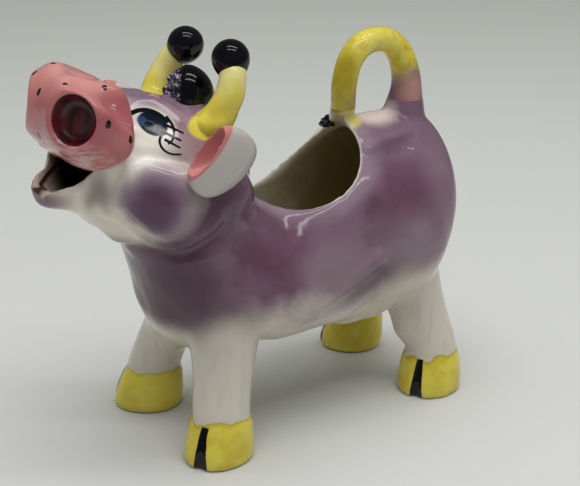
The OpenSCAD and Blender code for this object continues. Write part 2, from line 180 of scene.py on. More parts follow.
def place(tree, group, **values):
    # puts a node group into a material; names use _ where the socket has a space
    node = tree.nodes.new("ShaderNodeGroup")
    node.node_tree = group
    for key, value in values.items():
        socket = node.inputs[key.replace("_", " ")]
        if isinstance(value, (int, float, tuple, Vector)):
            socket.default_value = value
        else:
            tree.links.new(value, socket)
    return node


# node groups that the glazes share, in millimetres
def makeMillimetres():
    # Object coordinates in millimetres, and the same with both sides of the cow folded onto one
    group, start, end = newGroup("millimetres", [("Vector", "v", (0, 0, 0))], [("Place", "v"), ("Folded", "v")])
    big = vec2(group, "SCALE", start.outputs[0], scale=1000.0)
    parts = add(group, "ShaderNodeSeparateXYZ")
    link(group, big, parts.inputs[0])
    joined = add(group, "ShaderNodeCombineXYZ")
    link(group, math2(group, "ABSOLUTE", parts.outputs[0]), joined.inputs[0])
    link(group, parts.outputs[1], joined.inputs[1])
    link(group, parts.outputs[2], joined.inputs[2])
    link(group, big, end.inputs[0])
    link(group, joined.outputs[0], end.inputs[1])
    return group


def makeBrushStroke():
    # a stroke of the brush between two points, with a slightly ragged edge
    group, start, end = newGroup("brushStroke", [
        ("Place", "v", (0, 0, 0)), ("Start", "v", (0, 0, 0)), ("End", "v", (0, 0, 1)),
        ("Start Width", "f", 0.5), ("End Width", "f", 0.2), ("Edge", "f", 0.15)], [("Mask", "f")])
    fromStart = vec2(group, "SUBTRACT", start.outputs["Place"], start.outputs["Start"])
    along = vec2(group, "SUBTRACT", start.outputs["End"], start.outputs["Start"])
    share = math2(group, "DIVIDE", vec2(group, "DOT_PRODUCT", fromStart, along),
                  vec2(group, "DOT_PRODUCT", along, along), clamp=True)
    gap = vec2(group, "LENGTH", vec2(group, "SUBTRACT", fromStart, vec2(group, "SCALE", along, scale=share)))
    width = add(group, "ShaderNodeMix")
    link(group, share, width.inputs[0])
    link(group, start.outputs["Start Width"], width.inputs[2])
    link(group, start.outputs["End Width"], width.inputs[3])
    outer = math2(group, "ADD", width.outputs[0], start.outputs["Edge"])
    link(group, math2(group, "SUBTRACT", 1.0, ease(group, gap, width.outputs[0], outer)), end.inputs[0])
    return group


def makeSoftPatch():
    # an airbrushed patch: an ellipsoid whose edge fades and wanders
    group, start, end = newGroup("softPatch", [
        ("Place", "v", (0, 0, 0)), ("Centre", "v", (0, 0, 0)), ("Size", "v", (10, 10, 10)),
        ("Fade", "f", 0.4), ("Wander", "f", 0.15), ("Wander Scale", "f", 0.08)], [("Mask", "f")])
    offset = vec2(group, "DIVIDE", vec2(group, "SUBTRACT", start.outputs["Place"], start.outputs["Centre"]),
                  start.outputs["Size"])
    cloud = add(group, "ShaderNodeTexNoise", noise_dimensions="3D")
    cloud.inputs["Detail"].default_value = 3
    link(group, start.outputs["Place"], cloud.inputs["Vector"])
    link(group, start.outputs["Wander Scale"], cloud.inputs["Scale"])
    sway = math2(group, "MULTIPLY", math2(group, "SUBTRACT", cloud.outputs[0], 0.5),
                 math2(group, "MULTIPLY", start.outputs["Wander"], 4.0))
    reach = math2(group, "ADD", vec2(group, "LENGTH", offset), sway)
    low = math2(group, "SUBTRACT", 1.0, start.outputs["Fade"])
    high = math2(group, "ADD", 1.0, start.outputs["Fade"])
    link(group, math2(group, "SUBTRACT", 1.0, ease(group, reach, low, high)), end.inputs[0])
    return group


def makeGlaze():
    # the surface of a dipped glaze: slow ripples, tiny pinholes and a breath of dust
    group, start, end = newGroup("glazeSurface", [
        ("Place", "v", (0, 0, 0)), ("Ripple", "f", 1.0), ("Pinholes", "f", 1.0), ("Gloss", "f", 0.14)],
        [("Height", "f"), ("Roughness", "f"), ("Pits", "f"), ("Cloud", "f")])
    slow = add(group, "ShaderNodeTexNoise")
    slow.inputs["Scale"].default_value = 0.11
    slow.inputs["Detail"].default_value = 2
    link(group, start.outputs["Place"], slow.inputs["Vector"])
    quickNoise = add(group, "ShaderNodeTexNoise")
    quickNoise.inputs["Scale"].default_value = 0.55
    quickNoise.inputs["Detail"].default_value = 3
    link(group, start.outputs["Place"], quickNoise.inputs["Vector"])
    cells = add(group, "ShaderNodeTexVoronoi")
    cells.inputs["Scale"].default_value = 0.42
    link(group, start.outputs["Place"], cells.inputs["Vector"])
    pit = math2(group, "SUBTRACT", 1.0, ease(group, cells.outputs["Distance"], 0.05, 0.12))
    rare = ease(group, quickNoise.outputs[0], 0.52, 0.62)
    pits = math2(group, "MULTIPLY", math2(group, "MULTIPLY", pit, rare), start.outputs["Pinholes"])
    waves = math2(group, "ADD", math2(group, "MULTIPLY", slow.outputs[0], 0.8),
                  math2(group, "MULTIPLY", quickNoise.outputs[0], 0.05))
    height = math2(group, "SUBTRACT", math2(group, "MULTIPLY", waves, start.outputs["Ripple"]),
                   math2(group, "MULTIPLY", pits, 0.12))
    rough = math2(group, "ADD", start.outputs["Gloss"],
                  math2(group, "ADD", math2(group, "MULTIPLY", pits, 0.3),
                        math2(group, "MULTIPLY", ease(group, quickNoise.outputs[0], 0.45, 0.8), 0.08)))
    for i, value in enumerate((height, rough, pits, slow.outputs[0])):
        link(group, value, end.inputs[i])
    return group


millimetres = makeMillimetres()
brushStroke = makeBrushStroke()
softPatch = makeSoftPatch()
glazeSurface = makeGlaze()
print("node groups ready")


def startGlaze(name, ripple=1.0, pinholes=1.0, gloss=0.11, shine=0.32):
    mat, tree, shader = newMaterial(name)
    coords = add(tree, "ShaderNodeTexCoord")
    spot = place(tree, millimetres, Vector=coords.outputs["Object"])
    glaze = place(tree, glazeSurface, Place=spot.outputs["Place"], Ripple=ripple, Pinholes=pinholes, Gloss=gloss)
    bump = add(tree, "ShaderNodeBump")
    bump.inputs["Strength"].default_value = 0.16
    bump.inputs["Distance"].default_value = 0.0012
    link(tree, glaze.outputs["Height"], bump.inputs["Height"])
    link(tree, bump.outputs[0], shader.inputs["Normal"])
    link(tree, glaze.outputs["Roughness"], shader.inputs["Roughness"])
    shader.inputs["Specular IOR Level"].default_value = shine
    shader.inputs["Coat Weight"].default_value = 0.1
    shader.inputs["Coat Roughness"].default_value = 0.05
    return mat, tree, shader, spot, glaze


# shaping helpers


def copyNodes(names):
    bm = bmesh.new()
    for name in names:
        bm.from_mesh(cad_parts[name].data)
    bmesh.ops.remove_doubles(bm, verts=bm.verts, dist=1e-7)
    return bm


def toObject(bm, name, smooth=True):
    mesh = bpy.data.meshes.new(name)
    bm.to_mesh(mesh)
    bm.free()
    if smooth:
        mesh.polygons.foreach_set("use_smooth", [True] * len(mesh.polygons))
    obj = bpy.data.objects.new(name, mesh)
    scene.collection.objects.link(obj)
    return obj


def applyAll(obj):
    bpy.context.view_layer.update()
    depsgraph = bpy.context.evaluated_depsgraph_get()
    done = bpy.data.meshes.new_from_object(obj.evaluated_get(depsgraph), depsgraph=depsgraph)
    old = obj.data
    obj.modifiers.clear()
    obj.data = done
    bpy.data.meshes.remove(old)
    done.polygons.foreach_set("use_smooth", [True] * len(done.polygons))


def softenMesh(mesh, passes, swell=0.0, share=1.0):
    # evens out the skin; with a swell nearly as large as the pull it doesn't draw the form in
    places, _ = meshArrays(mesh)
    count = len(places)
    ends = np.zeros(len(mesh.edges) * 2, np.int32)
    mesh.edges.foreach_get("vertices", ends)
    one, two = ends[::2], ends[1::2]
    neighbours = np.bincount(ends, minlength=count)[:, None]
    for _ in range(passes):
        for pull in (0.5, -swell) if swell else (0.5,):
            total = np.stack([np.bincount(one, places[two, k], count) + np.bincount(two, places[one, k], count)
                              for k in range(3)], axis=1)
            places = places + share * pull * (total / neighbours - places)
    putPlaces(mesh, places)


def recast(obj, grain, passes):
    # one skin over all the pieces, then the joints softened like slip-cast clay
    remesh = obj.modifiers.new("recast", "REMESH")
    remesh.mode = "VOXEL"
    remesh.voxel_size = grain * mm
    remesh.adaptivity = 0
    applyAll(obj)
    softenMesh(obj.data, passes, 0.51)
    softenMesh(obj.data, 3)


def softenSpots(mesh, spots):
    # softens round a few places, on both sides of the cow
    for centre, radius, passes in spots:
        places, _ = meshArrays(mesh)
        away = np.linalg.norm(np.abs(places * (1, 0, 0)) + places * (0, 1, 1) - centre, axis=1)
        softenMesh(mesh, passes, share=np.clip(1.5 - 1.5 * away / radius, 0, 1)[:, None])


def meshArrays(mesh):
    count = len(mesh.vertices)
    places = np.zeros(count * 3, np.float32)
    normals = np.zeros(count * 3, np.float32)
    mesh.vertices.foreach_get("co", places)
    mesh.vertices.foreach_get("normal", normals)
    return places.reshape(-1, 3) / mm, normals.reshape(-1, 3)


def putPlaces(mesh, places):
    mesh.vertices.foreach_set("co", (places * mm).astype(np.float32).ravel())
    mesh.update()


def pressClay(mesh, strokes):
    # moves the skin out or in along paths; each stroke is mirrored to the other side
    places, normals = meshArrays(mesh)
    shift = np.zeros_like(places)
    for stroke in strokes:
        for side in (1, -1) if stroke.get("bothSides", True) else (1,):
            path = np.array(stroke["path"], float) * (side, 1, 1)
            push = np.array(stroke["push"], float) * (side, 1, 1)
            push = push / np.linalg.norm(push)
            near = np.full(len(places), 1e9)
            for a, b in zip(path[:-1], path[1:]) if len(path) > 1 else [(path[0], path[0])]:
                along = b - a
                share = np.clip(((places - a) @ along) / max(along @ along, 1e-9), 0, 1)
                near = np.minimum(near, np.linalg.norm(places - (a + share[:, None] * along), axis=1))
            t = np.clip(1 - near / stroke["width"], 0, 1)
            fall = t * t * (3 - 2 * t)
            if stroke.get("ball"):
                fall = np.sqrt(np.clip(1 - (near / stroke["width"]) ** 2, 0, 1))
            facing = 1 if stroke.get("through") else np.clip((normals @ push) * 2, 0, 1)
            shift += (fall * facing * stroke["height"])[:, None] * push
    putPlaces(mesh, places + shift)


def writeMask(mesh, name, values):
    layer = mesh.attributes.new(name, "FLOAT", "POINT")
    layer.data.foreach_set("value", np.asarray(values, np.float32))


def loft(name, rings, sides=24, levels=2):
    # circles of create_circle, bridged one to the next; a ring is centre, two axes and two radii, in mm
    bm = bmesh.new()
    loops = []
    for centre, across, up, wide, tall in rings:
        across, up = Vector(across).normalized(), Vector(up).normalized()
        turn = Matrix((across * wide * mm, up * tall * mm, across.cross(up) * mm)).transposed().to_4x4()
        turn.translation = Vector(centre) * mm
        made = bmesh.ops.create_circle(bm, cap_ends=False, segments=sides, radius=1, matrix=turn)
        verts = made["verts"]
        loops.append(list({e for v in verts for e in v.link_edges}))
    for one, two in zip(loops[:-1], loops[1:]):
        bmesh.ops.bridge_loops(bm, edges=one + two)
    bmesh.ops.edgeloop_fill(bm, edges=loops[0])
    bmesh.ops.edgeloop_fill(bm, edges=loops[-1])
    bmesh.ops.recalc_face_normals(bm, faces=bm.faces)
    obj = toObject(bm, name)
    if levels:
        soft = obj.modifiers.new("soft", "SUBSURF")
        soft.levels = soft.render_levels = levels
        applyAll(obj)
    return obj


def sweep(name, path, side, sides=20, levels=2):
    # a round limb along rows of x, y, z, radius
    rings = []
    for i, row in enumerate(path):
        before, after = Vector(path[max(i - 1, 0)][:3]), Vector(path[min(i + 1, len(path) - 1)][:3])
        ahead = (after - before).normalized()
        up = ahead.cross(Vector(side)).normalized()
        rings.append((row[:3], up.cross(ahead), up, row[3], row[3]))
    return loft(name, rings, sides, levels)


def dress(obj, material, nodes):
    obj.data.materials.clear()
    obj.data.materials.append(material)
    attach(obj, "root")
    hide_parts(*nodes)


def roughen(mesh, height, size, seed=0.0):
    # uneven hand modelling, a small noise along the normals
    places, normals = meshArrays(mesh)
    lift = np.array([noise.noise(Vector(p) / size + Vector((seed, seed, seed))) for p in places.tolist()])
    putPlaces(mesh, places + normals * (lift * height)[:, None])


# the filling hole in the back: an oval seen along its own tilted axis
holePaint = {"middle": (0, 16.88, 83.48), "length": 40, "width": 36.5, "tilt": 30}


def softenRim(mesh, hole, passes):
    # rounds the edge of the filling hole, as a wet sponge does
    places, _ = meshArrays(mesh)
    local = places - np.array(hole["middle"])
    slope = math.radians(hole["tilt"])
    along = local @ (0, math.cos(slope), math.sin(slope)) / (hole["length"] / 2)
    reach = np.hypot(local[:, 0] / (hole["width"] / 2), along)
    share = np.clip(1.5 - np.abs(reach - 1.04) / 0.1, 0, 1) * (places[:, 2] > 60)
    softenMesh(mesh, passes, share=share[:, None])


# the cast body: barrel, neck, head, lip, legs, hooves and tail run into each other as one skin
castBody = {
    "nodes": ["body_shell", "head_shell", "pouring_lip", "tail_handle",
              "front_left_leg", "front_right_leg", "rear_left_leg", "rear_right_leg",
              "front_left_hoof", "front_right_hoof", "rear_left_hoof", "rear_right_hoof"],
    "grain": 0.7, "softPasses": 40, "hoofCut": 15.0,
    # place, reach and passes where the clay runs together: withers, shoulder, thigh, jaw and brisket
    "spots": [((20, -10, 70), 20, 60), ((19, 3, 67), 15, 90), ((23, -24, 38), 15, 40), ((22, 50, 38), 15, 40),
              ((0, -20, 30), 16, 20), ((14, -50, 78), 9, 12)],
    "lastSpots": [((14.2, -42.4, 106.4), 8, 30), ((7, -31, 112), 10, 8), ((12.5, -60, 88), 6, 6), ((6, -70, 88), 6, 6),
                  ((26, -4, 71.5), 12, 40), ((5, -7, 84), 13, 60), ((14, -8, 84), 10, 40)],
    # how much wider the hooves flare than the solids, and the heights where that fades
    "flare": 0.08, "flareFade": (11, 14.5),
    "axis": [(0, 62, 60), (0, 20, 60), (0, -18, 58), (0, -32, 68), (0, -40, 84), (0, -58, 90), (0, -76, 92)],
    "strokes": [
        # jowl, the fold under it and the creases round them
        {"path": [(19.0, -46.0, 86.0), (20.8, -42.0, 85.4)], "push": (0.85, -0.5, 0), "width": 11.6, "height": 3.5, "ball": True},
        {"path": [(13.5, -52, 81), (15, -48, 75.4), (17.4, -45, 72.6), (22, -39, 75), (25.8, -35, 80.5)],
         "push": (0.7, -0.6, -0.2), "width": 3.6, "height": -1.6},
        {"path": [(11, -55, 79), (13, -49.5, 74), (17, -44, 70.2), (22, -37.5, 72), (27, -30, 78)],
         "push": (0.7, -0.6, -0.4), "width": 4.4, "height": 2.1},
        {"path": [(12, -45.5, 68), (20, -38, 67.6), (27, -28, 73.5), (29, -22, 80)], "push": (0.7, -0.6, -0.4), "width": 4.5, "height": -1.5},
        {"path": [(14, -57, 94), (15, -53, 95)], "push": (0.3, 0, 1), "width": 4.5, "height": 1.8},
        {"path": [(5.5, -70, 88.5), (9, -67.5, 90), (10.5, -65.5, 91)], "push": (0.3, 0, 1), "width": 4.2, "height": -2.0},
        {"path": [(13.5, -62.5, 92.5), (14, -60, 93.5)], "push": (0.2, 0, 1), "width": 3.6, "height": 2.2},
        # the far rim of the lip stands higher, and the throat runs straight into the neck
        {"path": [(-13, -58, 94), (-10, -64, 91.5), (-6, -69, 89)], "push": (-0.3, -0.5, 1), "width": 5, "height": 1.9, "bothSides": False},
        {"path": [(-1, -51.5, 76.2), (0, -47, 71)], "push": (-0.05, -0.65, -0.75), "width": 11.5, "height": 3.0, "bothSides": False},
        {"path": [(8, -5, 80.5), (12, -6, 81), (14, -9, 88)], "push": (0.4, 0.85, 0.2), "width": 9, "height": -2.6, "through": True},
        {"path": [(3.5, -71, 88), (7, -68.5, 89.5)], "push": (0.2, 0.3, 1), "width": 4.5, "height": 1.6},
        {"path": [(0, -71, 85.5), (0, -66, 85)], "push": (0, 0.2, 1), "width": 6, "height": 2.0, "bothSides": False},
        # the crown, pressed down in front of the forelock
        {"path": [(2, -39, 114.5), (4, -33, 113.8), (9, -29.5, 111.8)], "push": (0.2, 0, 1), "width": 9, "height": -1.6},
        {"path": [(4, -30.5, 113), (10, -27.5, 110.5)], "push": (0.1, 0, 1), "width": 7, "height": -2.4, "through": True},
        {"path": [(14.5, -59.5, 93), (12.6, -60, 86.5), (9, -59, 79.5)], "push": (0.8, -0.4, -0.4), "width": 3.6, "height": -1.6},
        {"path": [(17.4, -48.5, 98.2), (19.5, -44, 98), (22.5, -38, 96)], "push": (0.9, -0.3, 0.3), "width": 3.6, "height": -1.0},
        {"path": [(16.8, -50, 97.6), (18, -46.5, 97.2)], "push": (0.9, -0.3, 0.3), "width": 2.4, "height": 0.7},
        # brow, socket and ball of the eye
        {"path": [(9.8, -47.5, 109.8), (8.7, -43.5, 111.2), (10.2, -40, 111.2), (13.3, -37.4, 109.6), (16.2, -35.4, 106.6)],
         "push": (0.55, -0.2, 0.8), "width": 2.6, "height": 1.3},
        {"path": [(14.5, -45, 107), (15, -40, 106.2)], "push": (0.75, -0.3, 0.6), "width": 6, "height": -0.6},
        # shoulder, haunch, flank fold and the crease in front of the hip
        {"path": [(24, -24, 32), (27, -22, 46)], "push": (1, -0.2, 0.1), "width": 15, "height": 1.8},
        {"path": [(24, 52, 33), (27, 49, 50)], "push": (1, 0.2, 0), "width": 16, "height": 2.2},
        {"path": [(28, 0, 40.5), (28.6, 12, 45.5), (29.4, 21, 50), (29.2, 28, 55)], "push": (1, 0, 0.2), "width": 5, "height": 1.5},
        {"path": [(27.4, 10, 39.5), (28.6, 20, 44.5), (29.2, 30, 49)], "push": (1, 0, 0.1), "width": 5.5, "height": -2.4},
        # the brisket hangs low between the forelegs
        {"path": [(0, -32, 36), (0, -22, 30)], "push": (0, -0.35, -1), "width": 19, "height": 5.5, "bothSides": False},
        {"path": [(-10, -31, 46), (-10, -29, 38)], "push": (-0.5, -0.8, -0.2), "width": 11, "height": 2.4, "bothSides": False},
        {"path": [(24, 20, 37)], "push": (0.8, 0, -0.5), "width": 10, "height": 1.6},
        {"path": [(15, 42, 30), (17, 47, 22)], "push": (-0.4, -0.75, -0.5), "width": 9, "height": 3.0},
        {"path": [(14, 28, 33.5), (15, 38, 34.5)], "push": (0.2, -0.1, -1), "width": 10, "height": 2.8},
        {"path": [(25.4, 30.5, 72), (27.5, 29, 66), (28.5, 28, 59)], "push": (1, 0, 0.2), "width": 4, "height": -0.8},
        {"path": [(24.5, 37, 76), (28.5, 35.5, 62)], "push": (1, 0, 0.3), "width": 10, "height": 0.8},
        {"path": [(11.7, 53.5, 88.8), (12.6, 44, 88.4), (13.6, 35.5, 86.6)], "push": (0.6, 0, 0.8), "width": 2.8, "height": 1.2},
        {"path": [(15.5, 50, 86), (16.6, 42, 85)], "push": (0.7, 0, 0.7), "width": 4, "height": -0.9},
    ],
}


def markInside(mesh, axis):
    # 1 on the walls that look in at the middle line of the jug, 0 on the outside
    places, normals = meshArrays(mesh)
    best = np.full(len(places), 1e9)
    inward = np.zeros(len(places))
    for a, b in zip(np.array(axis[:-1], float), np.array(axis[1:], float)):
        along = b - a
        share = np.clip(((places - a) @ along) / (along @ along), 0, 1)
        away = places - (a + share[:, None] * along)
        gap = np.linalg.norm(away, axis=1)
        facing = (normals * away).sum(axis=1) / np.maximum(gap, 1e-6)
        closer = gap < best
        best[closer] = gap[closer]
        inward[closer] = -facing[closer]
    # the nape hangs over a little and faces the middle line too, from further away
    reach = np.where((places[:, 1] < 0) & (places[:, 2] > 76), 21, 36)
    hollow = np.clip((inward - 0.05) / 0.3, 0, 1) * (best < reach) * (places[:, 2] > 28)
    writeMask(mesh, "inside", hollow)


def makeCast(values):
    cast = toObject(copyNodes(values["nodes"]), "cast")
    recast(cast, values["grain"], values["softPasses"])
    softenMesh(cast.data, 4)
    softenSpots(cast.data, values["spots"])
    softenRim(cast.data, holePaint, 30)
    pressClay(cast.data, values["strokes"])
    softenMesh(cast.data, 2)
    softenSpots(cast.data, values["lastSpots"])
    places, normals = meshArrays(cast.data)
    low, high = values["flareFade"]
    flare = values["flare"] * np.clip((high - places[:, 2]) / (high - low), 0, 1)[:, None]
    middles = np.where(places[:, 1:2] < 15, (22.5, -28), (22, 57.7)) * np.stack([np.sign(places[:, 0]), np.ones(len(places))], axis=1)
    places[:, :2] += flare * (places[:, :2] - middles)
    # the rump stays inside the box of the CAD model
    places[:, 1] = np.minimum(places[:, 1], cadBox[1][1] / mm - 0.02)
    lowest = places[:, 2].min()
    places[:, 2] = np.where(places[:, 2] < 0.6, np.maximum(places[:, 2] - lowest, 0) * 0.5, places[:, 2])
    putPlaces(cast.data, places)
    markInside(cast.data, values["axis"])
    return cast


def cutOff(source, name, co, no, keepBox):
    # copies the part of the cast on the far side of a plane, closed by a face at the cut
    bm = bmesh.new()
    bm.from_mesh(source.data)
    low, high = keepBox
    far = [v for v in bm.verts if not all(a * mm <= c <= b * mm for a, c, b in zip(low, v.co, high))]
    bmesh.ops.delete(bm, geom=far, context="VERTS")
    cut = bmesh.ops.bisect_plane(bm, geom=bm.verts[:] + bm.edges[:] + bm.faces[:], dist=1e-6,
                                 plane_co=Vector(co) * mm, plane_no=no, clear_outer=True)
    closeRims(bm)
    return toObject(bm, name)


def closeRims(bm):
    rims = [e for e in bm.edges if e.is_boundary]
    caps = bmesh.ops.triangle_fill(bm, edges=rims, use_beauty=True)
    for face in [g for g in caps["geom"] if isinstance(g, bmesh.types.BMFace)]:
        for edge in face.edges:
            edge.smooth = False


def cutAway(source, co, no):
    # takes everything on the far side of a plane off the cast and closes it
    bm = bmesh.new()
    bm.from_mesh(source.data)
    bmesh.ops.bisect_plane(bm, geom=bm.verts[:] + bm.edges[:] + bm.faces[:], dist=1e-6,
                           plane_co=Vector(co) * mm, plane_no=no, clear_outer=True)
    closeRims(bm)
    bm.to_mesh(source.data)
    bm.free()
    source.data.update()


cast = makeCast(castBody)
print("cast:", len(cast.data.polygons), "faces")

# muzzle: a pill across the face with two nostril cups
muzzleForm = {
    "middle": (0, -58.96, 108.73), "width": 41, "height": 29, "length": 24.5, "waist": 0.965,
    # side, size, forward, up
    "rows": [(1.0, 0.12), (0.96, 0.42), (0.85, 0.7), (0.69, 0.88), (0.5, 0.98), (0.3, 1.0), (0.12, 0.98)],
    # side, size
    "nostril": (9.2, -59.9, 108.73), "aim": (0.528, -0.814, 0.242),
    # radius and depth of the cup, from the middle out
    "cup": [(0, 6.4), (4.0, 6.1), (5.4, 5.2), (6.3, 3.4), (6.9, 1.5), (7.5, 0.35), (8.6, -0.2), (10.4, 0)],
}


def makeMuzzle(values):
    cx, cy, cz = values["middle"]
    rows = [(-s, k) for s, k in values["rows"]] + [(0, values["waist"])] + values["rows"][::-1]
    rings = [((cx + s * values["width"] / 2, cy, cz), (0, 1, 0), (0, 0, 1),
              k * values["length"] / 2, k * values["height"] / 2) for s, k in rows]
    muzzle = loft("muzzleBulb", rings, 28, 2)
    recast(muzzle, 0.5, 20)
    mesh = muzzle.data
    pressClay(mesh, [
        # the near lobe was pressed flatter on top than the far one
        {"path": [(-1, -58, 123), (8, -60, 122.6)], "push": (0.1, 0.1, 1), "width": 8.5, "height": -2.4, "bothSides": False},
        {"path": [(12, -59.5, 122), (16.5, -56.2, 119.2)], "push": (0.4, 0.1, 0.9), "width": 9, "height": -3.7, "bothSides": False},
        {"path": [(-11, -60, 122.5), (-15, -60, 121)], "push": (-0.2, 0, 1), "width": 8, "height": -0.3, "bothSides": False},
        {"path": [(-7.5, -54, 121.8), (0, -53.5, 121.5), (6, -53.5, 120.8)], "push": (0, 0.5, 0.87), "width": 8, "height": -2.6, "bothSides": False},
        {"path": [(-12, -68.5, 114), (-12, -68.5, 109)], "push": (-0.8, -0.6, 0), "width": 8.5, "height": 1.7, "bothSides": False},
        {"path": [(15, -53.5, 120), (17.5, -52, 115)], "push": (0.5, 0.5, 0.7), "width": 8, "height": -2.8, "bothSides": False},
        {"path": [(17, -51.5, 116), (18, -50.5, 111)], "push": (0.7, 0.6, 0.3), "width": 7, "height": -1.6, "bothSides": False},
        {"path": [(15.9, -61.6, 97.6), (18.2, -55.9, 100.6)], "push": (0.6, 0.1, -0.75), "width": 9, "height": 1.7},
        {"path": [(18, -51.5, 106), (18.4, -53, 102)], "push": (0.7, 0.6, -0.3), "width": 8, "height": 1.4},
        {"path": [(19, -54.5, 107), (19, -53, 103)], "push": (0.9, 0.2, 0), "width": 6, "height": 0.9},
        {"path": [(2, -66, 99), (9, -66, 96.5), (15, -60, 96.5)], "push": (0.2, -0.5, -0.8), "width": 2.2, "height": -0.5},
        {"path": [(3, -68, 102), (9, -68.5, 99.5), (14, -65, 99)], "push": (0.2, -0.7, -0.6), "width": 2, "height": -0.4},
    ])
    softenMesh(mesh, 5)
    places, normals = meshArrays(mesh)
    inside = np.zeros(len(places))
    radii, depths = zip(*values["cup"])
    for side in (1, -1):
        aim = np.array(values["aim"]) * (side, 1, 1)
        aim = aim / np.linalg.norm(aim)
        foot = np.array(values["nostril"]) * (side, 1, 1)
        out = (places - foot) @ aim
        off = np.linalg.norm(places - foot - out[:, None] * aim, axis=1)
        front = out > 2
        sink = np.where(front, np.interp(off, radii, depths), 0)
        places = places - sink[:, None] * aim
        inside = np.maximum(inside, np.where(front, np.clip((7.5 - off) / 0.8, 0, 1), 0))
    putPlaces(mesh, places)
    softenMesh(mesh, 3)
    writeMask(mesh, "cup", inside)
    return muzzle


muzzle = makeMuzzle(muzzleForm)
print("muzzle:", len(muzzle.data.polygons), "faces")

# horns with their balls
hornForm = {
    "path": [(10.6, -24.9, 99.0, 7.0), (14.4, -22.9, 103.2, 5.7), (16.9, -20.4, 107.9, 4.8), (17.4, -18.4, 112.6, 4.5),
             (16.6, -16.9, 116.8, 4.2), (15.1, -16.0, 119.7, 3.9), (13.4, -15.5, 121.6, 3.7)],
    # the right horn was set further forward at its foot
    "farFoot": -4.0,
    "ball": (13.1, -15.44, 121.75), "ballRadius": 5.75,
    # where the foot spreads over the skull
    "foot": [(15.5, -29.5, 105.5), (19.5, -27.5, 103.0), (21.5, -23, 103)],
}


def makeHorn(values, side, name):
    last = len(values["path"]) - 1
    forward = values["farFoot"] if side < 0 else 0
    path = [(side * x, y + forward * (1 - (i / last) ** 2), z, r) for i, (x, y, z, r) in enumerate(values["path"])]
    horn = sweep(name, path, (0, 1, 0), 20, 2)
    roughen(horn.data, 0.35, 5.0, side)
    pressClay(horn.data, [{"path": values["foot"], "push": (0.6, -0.6, 0.4), "width": 4.5, "height": 1.8}])
    return horn


def makeBall(values, side, name):
    # a ball with a skirt of black paint that runs down the horn
    bm = bmesh.new()
    ball = Vector(values["ball"])
    down = (Vector(values["path"][-3][:3]) - ball).normalized()
    radius = values["ballRadius"]
    rim = []
    for i in range(13):
        a = math.radians(180 * i / 12)
        skirt = 1.0 if i < 7 else 1.0 + 0.055 * (i - 6)
        rim.append(bm.verts.new(Vector((math.sin(a) * radius, 0, math.cos(a) * radius * skirt)) * mm))
    edges = [bm.edges.new(pair) for pair in zip(rim[:-1], rim[1:])]
    bmesh.ops.spin(bm, geom=rim + edges, cent=(0, 0, 0), axis=(0, 0, 1), angle=math.tau, steps=32, use_merge=True)
    bmesh.ops.remove_doubles(bm, verts=bm.verts, dist=1e-6)
    bmesh.ops.recalc_face_normals(bm, faces=bm.faces)
    down.x *= side
    turn = (-down).to_track_quat("Z", "Y").to_matrix().to_4x4()
    turn.translation = Vector((side * ball.x, ball.y, ball.z)) * mm
    bmesh.ops.transform(bm, matrix=turn, verts=bm.verts)
    obj = toObject(bm, name)
    soft = obj.modifiers.new("soft", "SUBSURF")
    soft.levels = soft.render_levels = 1
    applyAll(obj)
    return obj


horns = {s: makeHorn(hornForm, k, s + "Horn") for s, k in (("left", 1), ("right", -1))}
balls = {s: makeBall(hornForm, k, s + "HornBall") for s, k in (("left", 1), ("right", -1))}
print("horns and balls ready")

# ears: a leaf hollowed from its front edge
earForm = {
    "middle": (30.0, -29.14, 97.25), "length": 24, "width": 22, "thick": 9, "turn": (-26, 13, 10),
    "rows": [(0, 0.25, 0.5), (0.1, 0.62, 0.8), (0.3, 0.93, 1), (0.52, 1.04, 1), (0.74, 0.98, 0.88), (0.87, 0.7, 0.66), (0.93, 0.28, 0.34)],
    "hollow": 0.76, "hollowShift": (-0.2, -10.6, 0.4),
    # the ears droop outwards about this axis, in degrees
    "droop": ((0.7763, -0.5309, 0.3397), -10),
    # the right ear was set a little further forward and shows more of its pink
    "farShift": (0, -3.0, 1.3), "pink": {1: 1.28, -1: 1.4},
}


